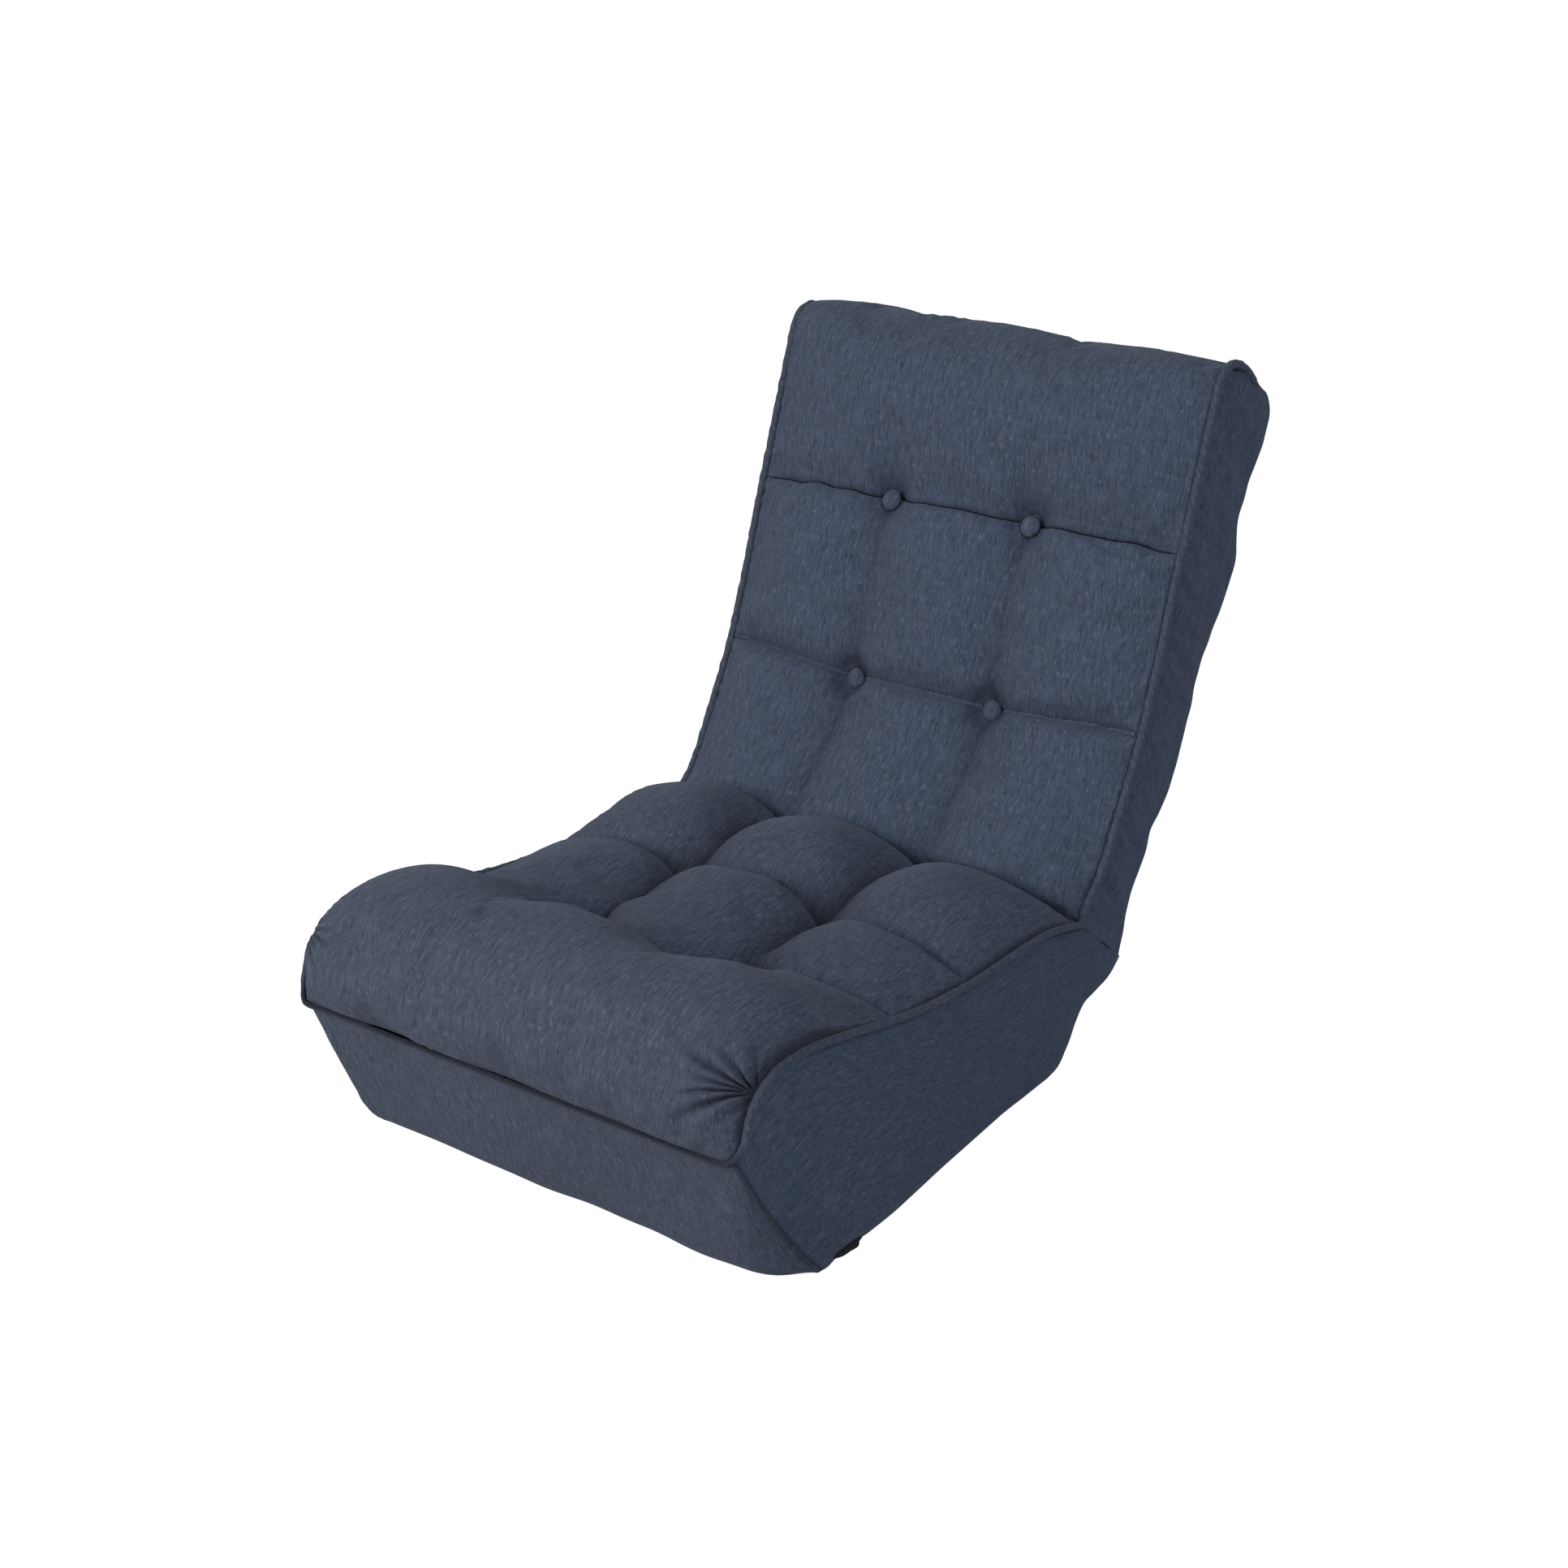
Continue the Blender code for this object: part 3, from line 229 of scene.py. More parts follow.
def shell(name, grid, material, thick=CLOTH, flip=False, weave=None, shade=None):
    """A cover: a grid of points with the cloth's thickness behind it, as one closed body."""
    rows, columns = grid.shape[:2]
    grid = np.concatenate([grid[:, :, :2], np.maximum(grid[:, :, 2:], ABOVE_FLOOR)], axis=2)
    normal = np.cross(np.gradient(grid, axis=1), np.gradient(grid, axis=0))
    normal /= np.maximum(np.linalg.norm(normal, axis=2, keepdims=True), 1e-9)
    inner = grid - normal * (-thick if flip else thick)
    inner[:, :, 2] = np.maximum(inner[:, :, 2], ABOVE_FLOOR / 3)
    points = np.concatenate([grid.reshape(-1, 3), inner.reshape(-1, 3)])
    count = rows * columns
    faces = grid_faces(rows, columns, 0, flip) + grid_faces(rows, columns, count, not flip)
    index = np.arange(count).reshape(rows, columns)
    rim = [*index[0], *index[1:, -1], *index[-1, -2::-1], *index[-2:0:-1, 0]]
    for a, b in zip(rim, rim[1:] + rim[:1]):
        faces.append((a, b, b + count, a + count) if flip else (b, a, a + count, b + count))
    made = new_object(name, points, faces, material)
    made.data.set_sharp_from_angle(angle=math.radians(60))
    weave = (flat_places(grid) if weave is None else weave).reshape(-1, 3)
    set_weave(made.data, np.concatenate([weave, weave]))
    if shade is not None:
        set_shade(made.data, shade)
    return made


def pad(name, grid, under, material, shade):
    """A cushion: its upper skin over an under side that shares its rim, as one closed body."""
    rows, columns = grid.shape[:2]
    count = rows * columns
    below = np.arange(count).reshape(rows, columns)
    below[1:-1, 1:-1] = count + np.arange((rows - 2) * (columns - 2)).reshape(rows - 2, columns - 2)
    faces = grid_faces(rows, columns)
    for i in range(rows - 1):
        for j in range(columns - 1):
            faces.append((below[i, j], below[i + 1, j], below[i + 1, j + 1], below[i, j + 1]))
    points = np.concatenate([grid.reshape(-1, 3), under[1:-1, 1:-1].reshape(-1, 3)])
    made = new_object(name, points, faces, material)
    weave = flat_places(grid)
    set_weave(made.data, np.concatenate([weave.reshape(-1, 3), weave[1:-1, 1:-1].reshape(-1, 3)]))
    set_shade(made.data, shade)
    return made


def rope(name, path, radius, material, sides=10, shade=None):
    """A piped seam: a tube along a path, with the small unevenness of a cord in its cloth.

    shade gives how deep each point of the path lies. There the cord is thinner and its upper side gets
    painted shade."""
    count = len(path)
    ahead = tangents(path)
    side = np.cross(ahead, (0.0, 0.0, 1.0))
    side[0] /= np.linalg.norm(side[0])
    for i in range(1, count):
        level = side[i - 1] - ahead[i] * (side[i - 1] @ ahead[i])
        side[i] = level / np.linalg.norm(level)
    up = np.cross(ahead, side)
    run = np.concatenate([[0], np.cumsum(np.linalg.norm(np.diff(path, axis=0), axis=1))])
    deep = 0 * run if shade is None else shade(path)
    girth = radius * (1 + CORD_LUMPS * ripple(run, len(name), LUMP_PERIOD)) * (1 - 0.30 * deep)
    points, weave = [], []
    for k in range(sides):
        angle = 2 * math.pi * k / sides
        points.append(path + (side * math.cos(angle) + up * math.sin(angle)) * girth[:, None])
        weave.append(np.stack([run * 0.7 + radius * angle, run * 0.7 - radius * angle, 0 * run], -1))
    faces = []
    for i in range(count - 1):
        for k in range(sides):
            a, b = i * sides + k, i * sides + (k + 1) % sides
            faces.append((a, b, b + sides, a + sides))
    last = (count - 1) * sides
    faces += [tuple(range(sides))[::-1], tuple(range(last, last + sides))]
    made = new_object(name, np.stack(points, 1).reshape(-1, 3), faces, material)
    set_weave(made.data, np.stack(weave, 1).reshape(-1, 3))
    if shade is not None:
        # Painted shade on the cord's upper side, where it lies deep
        upper = 0.5 - 0.5 * np.sin(2 * math.pi * np.arange(sides) / sides)
        set_shade(made.data, deep[:, None] * (0.25 + 0.75 * upper)[None, :])
    return made


# Materials

class Wire:
    """One value in a node tree, with arithmetic."""

    def __init__(self, tree, socket):
        self.tree, self.socket = tree, socket

    def math(self, operation, *others, clamp=False):
        node = self.tree.nodes.new("ShaderNodeMath")
        node.operation = operation
        node.use_clamp = clamp
        for socket, value in zip(node.inputs, (self, *others)):
            if isinstance(value, Wire):
                self.tree.links.new(value.socket, socket)
            else:
                socket.default_value = value
        return Wire(self.tree, node.outputs[0])

    def __add__(self, other):
        return self.math("ADD", other)

    def __mul__(self, other):
        return self.math("MULTIPLY", other)

    def __sub__(self, other):
        return self.math("SUBTRACT", other)

    def __rsub__(self, other):
        return self * -1.0 + other

    __radd__, __rmul__ = __add__, __mul__

    def clamp(self):
        return self.math("ADD", 0.0, clamp=True)

    def absolute(self):
        return self.math("ABSOLUTE")

    def sine(self):
        return self.math("SINE")


class Nodes:
    """A node tree that is built node by node."""

    def __init__(self, tree):
        self.tree = tree

    def node(self, kind, settings=None, output=0, **inputs):
        """Adds a node with its settings and input values or wires, and gives one of its outputs."""
        node = self.tree.nodes.new(kind)
        for key, value in (settings or {}).items():
            setattr(node, key, value)
        for label, value in inputs.items():
            socket = node.inputs[int(label[1:]) if label[0] == "_" else label.replace("_", " ")]
            if isinstance(value, Wire):
                self.tree.links.new(value.socket, socket)
            else:
                socket.default_value = value
        return Wire(self.tree, node.outputs[output])

    def show(self, wire):
        """Makes a shader the one that the output shows."""
        end = next(n for n in self.tree.nodes if n.type in ("OUTPUT_MATERIAL", "OUTPUT_WORLD"))
        self.tree.links.new(wire.socket, end.inputs[0])


class Finish(Nodes):
    """A material on the principled shader."""

    def __init__(self, name, **values):
        self.material = bpy.data.materials.new(name)
        self.material.use_nodes = True
        super().__init__(self.material.node_tree)
        self.shader = next(n for n in self.tree.nodes if n.type == "BSDF_PRINCIPLED")
        for label, value in values.items():
            self.shader.inputs[label.replace("_", " ")].default_value = value

    def give(self, label, wire):
        self.tree.links.new(wire.socket, self.shader.inputs[label])

    def mix(self, amount, first, second):
        """Blend of two colours. The first may be a wire."""
        first = first if isinstance(first, Wire) else (*first, 1)
        return self.node("ShaderNodeMix", {"data_type": "RGBA"}, 2, _0=amount, _6=first, _7=(*second, 1))

    def noise(self, place, scale, detail, rough=0.5):
        """Noise with one scale, or with one for each way of the cloth."""
        if isinstance(scale, tuple):
            place = self.node("ShaderNodeVectorMath", {"operation": "MULTIPLY"}, _0=place, _1=(*scale, 1))
            scale = 1.0
        return self.node("ShaderNodeTexNoise", Vector=place, Scale=scale, Detail=detail, Roughness=rough)

    def both_ways(self, place):
        """Two wires: how far across and how far along the cloth a place is."""
        across = self.node("ShaderNodeSeparateXYZ", _0=place)
        return across, Wire(self.tree, across.socket.node.outputs[1])

    def bump(self, strength, distance, height):
        self.give("Normal", self.node("ShaderNodeBump", Strength=strength, Distance=distance, Height=height))


def linen(name, dark, light):
    """Heathered plain weave: slubby yarns both ways, pale and warm flecks, faint fading, and painted shade
    where the shade attribute marks a seam or fold.
    """
    made = Finish(name, Roughness=0.93, Specular_IOR_Level=0.22, Sheen_Weight=0.16, Sheen_Roughness=0.45,
                  Sheen_Tint=(0.62, 0.70, 0.86, 1))
    cloth = made.node("ShaderNodeAttribute", {"attribute_name": "weave"}, 1)
    warp = made.noise(cloth, (700, 72), 2.0, 0.6)
    weft = made.noise(cloth, (140, 660), 2.0, 0.6)
    slub = made.noise(cloth, (260, 28), 1.0)
    mottle = made.noise(cloth, 85, 4.0, 0.7)
    fading = made.noise(cloth, 9, 2.0)
    yarn = (warp * 0.46 + weft * 0.27 + slub * 0.27 - 0.5) * 4.6 + 0.5
    colour = made.mix((yarn * 0.72 + mottle * 0.46 + fading * 0.16 - 0.17).clamp(), dark, light)
    pale = (made.noise(cloth, (760, 100), 0.0) - 0.62) * 7.0
    colour = made.mix(pale.clamp() * 0.36, colour, FLECK)
    warm = (made.noise(cloth, (210, 320), 1.0) - 0.60) * 5.0
    colour = made.mix(warm.clamp() * 0.30, colour, (light[0], light[1] * 0.83, light[2] * 0.74))
    # Painted shade: the colour darkens towards a deep navy where a point's shade attribute says it lies deep
    # in a seam or fold
    depth = made.node("ShaderNodeAttribute", {"attribute_name": "shade"}, 2)
    made.give("Base Color", made.mix(depth * 0.85, colour, tuple(0.22 * c for c in dark)))
    made.give("Roughness", yarn.clamp() * 0.12 + 0.86)
    across, along = made.both_ways(cloth)
    threads = (across * THREADS).sine() * 0.5 + (along * THREADS).sine() * 0.5
    made.bump(0.42, 0.0011, threads * 0.22 + yarn * 0.8 + mottle * 0.3)
    return made.material


def lining_cloth(name):
    """Thin black spun cloth with its pressed dot pattern."""
    made = Finish(name, Roughness=0.9, Specular_IOR_Level=0.3)
    cloth = made.node("ShaderNodeAttribute", {"attribute_name": "weave"}, 1)
    across, along = made.both_ways(cloth)
    dots = ((across * DOTS).sine() * (along * DOTS).sine()).absolute()
    fibre = made.noise(cloth, 420, 3.0, 0.7)
    made.give("Base Color", made.mix((fibre * 0.9 + dots * 0.2 - 0.1).clamp(), (0.007, 0.007, 0.008),
                                     (0.030, 0.030, 0.033)))
    made.give("Roughness", fibre * 0.2 + 0.78)
    made.bump(0.3, 0.0006, dots * 0.6 + fibre * 0.6)
    return made.material


def metal(name, colour, worn, roughness, metallic, speck=300):
    """Coated or plated steel with fine grain and rubbed places."""
    made = Finish(name, Metallic=metallic)
    place = made.node("ShaderNodeTexCoord", output=3)
    grain = made.noise(place, speck, 4.0, 0.6)
    rubbed = ((made.noise(place, 34, 3.0, 0.6) - 0.52) * 6.0).clamp()
    made.give("Base Color", made.mix(rubbed * 0.6, colour, worn))
    made.give("Roughness", (grain * 0.22 + roughness + rubbed * 0.10).clamp())
    made.bump(0.12, 0.0003, grain)
    return made.material


THREADS = 5200.0  # turns of the thread waves, in radians to the metre
DOTS = 2100.0
FLECK = (0.205, 0.235, 0.300)
NAVY_DARK, NAVY_LIGHT = (0.034, 0.043, 0.066), (0.098, 0.120, 0.172)
seat_linen = linen("seat_linen", NAVY_DARK, NAVY_LIGHT)
back_linen = linen("back_linen", (0.033, 0.044, 0.071), (0.096, 0.123, 0.186))
side_linen = linen("side_linen", (0.031, 0.043, 0.074), (0.092, 0.122, 0.196))
piping_linen = linen("piping_linen", tuple(0.90 * c for c in NAVY_DARK), tuple(0.95 * c for c in NAVY_LIGHT))
black_lining = lining_cloth("black_lining_cloth")
enamel = metal("black_enamel", (0.016, 0.016, 0.018), (0.06, 0.06, 0.062), 0.34, 0.0)
zinc = metal("zinc_plate", (0.52, 0.52, 0.50), (0.66, 0.65, 0.60), 0.26, 1.0, 500)
spring_blue = metal("spring_steel_blued", (0.16, 0.17, 0.21), (0.34, 0.34, 0.35), 0.22, 1.0, 500)

# Side view of the seams: u along each cushion, then rim (y, z) and crown (y, z)

SEAT_LINE = (
    (0.00, -0.330, 0.156, -0.330, 0.157), (0.06, -0.3185, 0.184, -0.347, 0.194),
    (0.13, -0.3075, 0.212, -0.345, 0.236), (0.20, -0.280, 0.2290, -0.316, 0.268),
    (0.29, -0.238, 0.2315, -0.246, 0.286), (0.36, -0.198, 0.226, -0.196, 0.276),
    (0.42, -0.156, 0.217, -0.150, 0.250), (0.47, -0.115, 0.208, -0.112, 0.234),
    (0.52, -0.076, 0.1995, -0.076, 0.230), (0.58, -0.030, 0.192, -0.032, 0.239),
    (0.64, 0.010, 0.188, 0.008, 0.243), (0.70, 0.048, 0.185, 0.047, 0.242),
    (0.80, 0.130, 0.184, 0.128, 0.252), (0.89, 0.196, 0.182, 0.190, 0.245),
    (0.95, 0.240, 0.173, 0.234, 0.224), (0.98, 0.260, 0.168, 0.256, 0.199),
    (1.00, 0.272, 0.164, 0.264, 0.172),
)
TOP_RIM, TOP_CROWN = (UPPER_BUTTONS[0], 0.0749), (UPPER_BUTTONS[0], 0.108)
BACK_LINE = (
    (0.00, 0.272, 0.164, 0.264, 0.172), (0.03, 0.2745, 0.171, 0.247, 0.192),
    (0.07, 0.279, 0.180, 0.241, 0.212), (0.13, *back_point(0.075, 0.056), 0.258, 0.238),
    (0.25, *back_point(0.120, 0.052), 0.287, 0.270),
    (0.38, *back_point(0.175, 0.050), *back_point(0.170, 0.089)),
    (0.50, *back_point(LOWER_BUTTONS[0], 0.049), *back_point(LOWER_BUTTONS[0], 0.089)),
    (0.62, *back_point(0.281, 0.054), *back_point(0.281, 0.092)),
    (0.75, *back_point(0.332, 0.060), *back_point(0.332, 0.098)),
    (0.88, *back_point(0.383, 0.068), *back_point(0.383, 0.104)),
    (1.00, *back_point(*TOP_RIM), *back_point(*TOP_CROWN)),
)
HEAD_LINE = (
    (0.00, *back_point(*TOP_RIM), *back_point(*TOP_CROWN)),
    (0.10, *head_point(0.000, 0.0785), *head_point(0.006, 0.110)),
    (0.26, *head_point(0.050, 0.079), *head_point(0.052, 0.113)),
    (0.40, *head_point(0.096, 0.079), *head_point(0.098, 0.115)),
    (0.52, *head_point(0.135, 0.079), *head_point(0.138, 0.111)),
    (0.63, *head_point(0.163, 0.077), *head_point(0.168, 0.101)),
    (0.73, *head_point(0.179, 0.061), *head_point(0.187, 0.078)),
    (0.84, *head_point(0.181, 0.037), *head_point(0.195, 0.046)),
    (0.93, *head_point(0.177, 0.017), *head_point(0.194, 0.019)),
    (1.00, *head_point(0.170, 0.001), *head_point(0.189, 0.002)),
)
SEAT_LONG, BACK_LONG, HEAD_LONG = 0.80, 0.48, 0.33  # lengths of the covers along u

CORNER_R = 0.026
LEFT_TURN = 0.30  # the left corner's rounding, as a share of the right one's
CORNER_U = 0.065  # share of the seat's length over which the front corner turns
SEAM_IN = 0.0028  # how far a cover's edge lies inside the middle of the piping
ACROSS = 210  # points across a cushion
ACROSS_SPOTS = ((-1, 0.18, 1.6), (1, 0.18, 1.6), (-TUFT_X / HALF, 0.12, 0.8), (TUFT_X / HALF, 0.12, 0.8))
JOIN = 2.2  # power at which crossing valleys join: a high one keeps the deeper of the two
CREASE, CREASE_HALF = 0.0045, 0.007  # depth and half width of the stitched crease at a row's ends
CLOTH_STEP, CLOTH_FRAMES = 4, 20
CLOTH_PRESSURE, CLOTH_SPARE, CLOTH_CAP = 4.0, 0.012, 0.006  # the spare is a share, the cap a distance

# A sewn row: u, how far its ends rise, the reach and form of the puffs before and after it, its depth at
# the tufts, the share of that half way between them, and how far it curves forward there
Row = namedtuple("Row", "at ends before after form_before form_after depth between arc")
SEAT_ROWS = (
    Row(0.52, -0.010, 0.10, 0.075, (2.1, 1.4), (2.4, 1.6), 0.030, 0.46, 0.098),
    Row(0.70, -0.004, 0.075, 0.13, (2.4, 1.6), (2.4, 1.6), 0.033, 0.80, -0.024),
)
BACK_ROWS = (
    Row(0.50, 0.022, 0.055, 0.105, (2.0, 2.0), (2.1, 1.6), 0.031, 0.9, 0.0),
    Row(1.0, 0.0, 0.040, 0.2, (2.0, 2.0), (2.0, 1.5), 0.021, 1.0, 0.0),
)


def to_rim(x):
    """0 at a line of tufts, 1 at the rim."""
    return np.clip((np.abs(x) - TUFT_X) / (HALF - TUFT_X), 0, 1)


def row_line(row, x):
    """u of a sewn row at x."""
    between = np.where(x < -TUFT_X, to_rim(x), np.where(x < TUFT_X, (TUFT_X - x) / (2 * TUFT_X), 0))
    scallop = np.clip(np.sin(math.pi * between), 0, 1) ** 0.6
    left_more = np.where(x < 0, 1.4, 1.0)
    return row.at + row.ends * smooth(to_rim(x)) * left_more - row.arc * scallop


def to_tuft_line(x):
    return np.minimum(np.abs(x - TUFT_X), np.abs(x + TUFT_X))


def tuft_field(u, x, rows, columns, length, column_form, thinning=0.0, tuft_r=0.040, tuft_pull=0.013):
    """Depth of the sewn valleys below the smooth envelope.

    columns is the depth of the lines of tufts at each u, thinning says how far a row draws in to a crease
    towards the rim, and tuft_pull is the extra depth at a tuft."""
    u = u[:, None]
    to_column = to_tuft_line(x)
    reach = np.where(np.abs(x) < TUFT_X, TUFT_X, (HALF - TUFT_X) * 0.62)
    total = (columns[:, None] * (1 - pillow(to_column / reach, *column_form))) ** JOIN
    edge = np.clip((HALF - np.abs(x)) / 0.05, 0, 1)
    crease_end = smooth((np.abs(x) - HALF + 0.060) / 0.03) * smooth(edge * 8)
    thin = 1 - thinning * to_rim(x) ** 1.4
    pull = 0
    for row in rows:
        past = u - row_line(row, x)
        before = 1 - pillow(-past / (row.before * thin), *row.form_before)
        after = 1 - pillow(past / (row.after * thin), *row.form_after)
        one = row.depth * np.where(past < 0, before, after)
        one = one * (0.35 + 0.65 * smooth(edge)) * thin
        held = bump(to_column, 0.085 - 0.3 * max(row.arc, 0))
        one = one * (row.between + (1 - row.between) * held)
        one = one + CREASE * bump(past * length, CREASE_HALF) * crease_end
        total = total + one**JOIN
        away = np.sqrt((past * length) ** 2 + to_column**2)
        pull = np.maximum(pull, tuft_pull * (1 - smooth(away / tuft_r)) ** 1.2)
    return total ** (1 / JOIN) + pull


def seam_shade(valley, x, deep):
    """Painted shade along the sewn lines, and in the last few millimetres before the piping."""
    by_piping = 0.75 * (1 - smooth((HALF - np.abs(x) - 0.002) / 0.005))
    return np.maximum(np.clip(valley / deep, 0, 1) ** 2.2, by_piping)


def spread(values, places, count):
    """Values known at some rows of a grid, carried to all its rows."""
    flat = values.reshape(len(places), -1)
    full = np.stack([np.interp(np.arange(count), places, column) for column in flat.T], -1)
    return full.reshape(count, *values.shape[1:])


def blown_up(points, held):
    """How far each point of a cloth moves when pressure fills it, with held, from 0 to 1, as its pins."""
    mesh = bpy.data.meshes.new("cover_cloth")
    mesh.from_pydata(points.reshape(-1, 3).tolist(), [], grid_faces(*points.shape[:2]))
    cover = bpy.data.objects.new("cover_cloth", mesh)
    bpy.context.scene.collection.objects.link(cover)
    group = cover.vertex_groups.new(name="sewn")
    for i, weight in enumerate(held.ravel()):
        group.add([i], float(np.clip(weight, 0, 1)), "REPLACE")
    settings = cover.modifiers.new("cloth", "CLOTH").settings
    settings.quality = 6
    settings.vertex_group_mass = "sewn"
    settings.use_pressure = True
    settings.uniform_pressure_force = CLOTH_PRESSURE
    settings.effector_weights.gravity = 0
    settings.shrink_min = -CLOTH_SPARE
    settings.bending_stiffness = 0.3
    for number in range(1, CLOTH_FRAMES + 1):
        bpy.context.scene.frame_set(number)
    now = cover.evaluated_get(bpy.context.evaluated_depsgraph_get()).data
    moved = np.array([v.co for v in now.vertices]).reshape(points.shape) - points
    bpy.data.objects.remove(cover)
    bpy.data.meshes.remove(mesh)
    bpy.context.scene.frame_set(1)
    return moved


class Skin:
    """The upper skin of a cushion while it is shaped, from the smooth envelope between rim and crown.

    power and steep, at each u, say how full the envelope is towards the rim."""

    def __init__(self, line, u, power, steep, corner=0.0):
        self.u, self.rim = u, through([k[:3] for k in line], u)
        crown = through([(k[0], *k[3:]) for k in line], u)
        v = graded(-1, 1, ACROSS, ACROSS_SPOTS)
        self.share = (1 - np.abs(v[None, :]) ** power[:, None]) ** (1 / steep[:, None])
        yz = self.rim[:, None, :] + (crown - self.rim)[:, None, :] * self.share[:, :, None]
        turn = np.clip(1 - u / CORNER_U, 0, 1)
        half = (HALF - corner * (1 - np.sqrt(1 - turn**2)))[:, None]
        x = np.where(v < 0, HALF - LEFT_TURN * (HALF - half), half) * v
        self.x = x - np.sign(x) * SEAM_IN * (1 - self.share) ** 8
        self.grid = np.concatenate([self.x[:, :, None], yz], axis=2)
        ahead = tangents(crown)
        self.out = np.stack([0 * ahead[:, 0], -ahead[:, 1], ahead[:, 0]], -1)

    def lift(self, height):
        self.grid = self.grid + self.out[:, None, :] * height[:, :, None]

    def uneven(self, length, seed, height, size):
        """Slow unevenness of the filling."""
        return height * swell(self.x, (self.u * length)[:, None] + 0 * self.x, seed, size) * self.share

    def stitches(self, length, seed, size=0.0014, period=0.017, reach=0.030):
        """Small puckers that run in from the side piping."""
        away = HALF - np.abs(self.x)
        run = (self.u * length)[:, None]
        wave = np.where(self.x > 0, ripple(run, seed, period), ripple(run, seed + 1, period))
        return size * wave * np.clip(1 - away / reach, 0, 1) ** 1.4 * smooth(away / 0.003)

    def sewn_down(self, valley, deep):
        """How firmly the sewing holds each point: fully at the rim and in the deepest of the valleys."""
        rim = 1 - smooth((HALF - np.abs(self.x)) / 0.012)
        ends = np.maximum(1 - smooth(self.u / 0.02), smooth((self.u - 0.98) / 0.02))[:, None]
        return np.clip(np.maximum(np.maximum(rim, ends), np.clip(valley / deep, 0, 1) ** 1.5), 0, 1)

    def settle(self, sewn):
        """Lets the cover settle as a cloth over its filling, where sewn, from 0 to 1, doesn't hold it.

        A coarser copy, cut a little larger than its place, is blown up. How far it moves, less its mean
        swell and at most the cap, is carried back to the whole skin."""
        tall, wide = self.grid.shape[:2]
        rows = np.unique(np.round(np.linspace(0, tall - 1, tall // CLOTH_STEP)).astype(int))
        columns = np.unique(np.round(np.linspace(0, wide - 1, wide // CLOTH_STEP)).astype(int))
        held = sewn[np.ix_(rows, columns)]
        held[0], held[-1], held[:, 0], held[:, -1] = 1, 1, 1, 1
        moved = blown_up(self.grid[np.ix_(rows, columns)], held)
        free = (held < 0.3)[:, :, None]
        moved = moved - (moved * free).sum((0, 1)) / free.sum() * (1 - held)[:, :, None]
        far = np.linalg.norm(moved, axis=2, keepdims=True)
        moved = spread(moved * np.minimum(1, CLOTH_CAP / np.maximum(far, 1e-9)), rows, tall)
        moved = spread(moved.transpose(1, 0, 2), columns, wide).transpose(1, 0, 2)
        self.grid = self.grid + moved * (1 - sewn)[:, :, None]

    def sink(self, buttons):
        """Presses the skin down round the two buttons of a row, so that each lies in its own well."""
        s, face = buttons
        y, z = self.grid[:, :, 1] - AXLE[0], self.grid[:, :, 2] - AXLE[1]
        along = y * math.sin(BACK_LEAN) + z * math.cos(BACK_LEAN)
        front = z * math.sin(BACK_LEAN) - y * math.cos(BACK_LEAN)
        away = np.sqrt((np.abs(self.grid[:, :, 0]) - TUFT_X) ** 2 + (along - s) ** 2)
        push = np.minimum(face + 0.001 - front, 0) * (1 - smooth((away - BUTTON_R - 0.001) / 0.013))
        self.grid[:, :, 1] -= push * math.cos(BACK_LEAN)
        self.grid[:, :, 2] += push * math.sin(BACK_LEAN)

    def made(self, name, shift, material, shade):
        """The cushion, with its under side straight across from rim to rim, moved by shift."""
        fade = np.minimum(np.clip(self.u / 0.05, 0, 1), np.clip((1 - self.u) / 0.05, 0, 1))[:, None, None]
        flat = np.concatenate([self.x[:, :, None], np.repeat(self.rim[:, None, :], ACROSS, 1)], axis=2)
        under = self.grid * (1 - fade) + (flat + np.array(shift)) * fade
        return pad(name, self.grid, under, material, shade)


# Seat cushion

GATHER_U = 0.152  # where the piping turns back along the side, and the gathers fan out
GATHER_DEPTH, PINCH_DEPTH, PINCH_R = 0.0105, 0.007, 0.050


def seat_gathers(x, along, away, in_from):
    """Folds that fan out from each front corner, and the dip that they run into."""
    side = np.where(x > 0, 1.0, -1.0)
    angle = np.arctan2(in_from, along)
    fan = np.sin(angle * 14.0 + 1.3 * np.sin(angle * 3.0) + 0.6 * side)
    fan = -np.clip(-fan, 0, 1) ** 1.3 + 0.5 * np.clip(fan, 0, 1)
    reach = 0.072 + 0.024 * np.sin(angle * 5.0 + 1.0 + side)
    strength = smooth(away / 0.012) * np.clip(1 - away / reach, 0, 1) ** 0.8
    pinch = PINCH_DEPTH * np.clip(1 - away / PINCH_R, 0, 1) ** 2
    gather = GATHER_DEPTH * fan * strength * (1 + 0.35 * (along < 0)) - pinch
    return gather * smooth(in_from / 0.006) * np.where(x > 0, 1.0, 0.45)


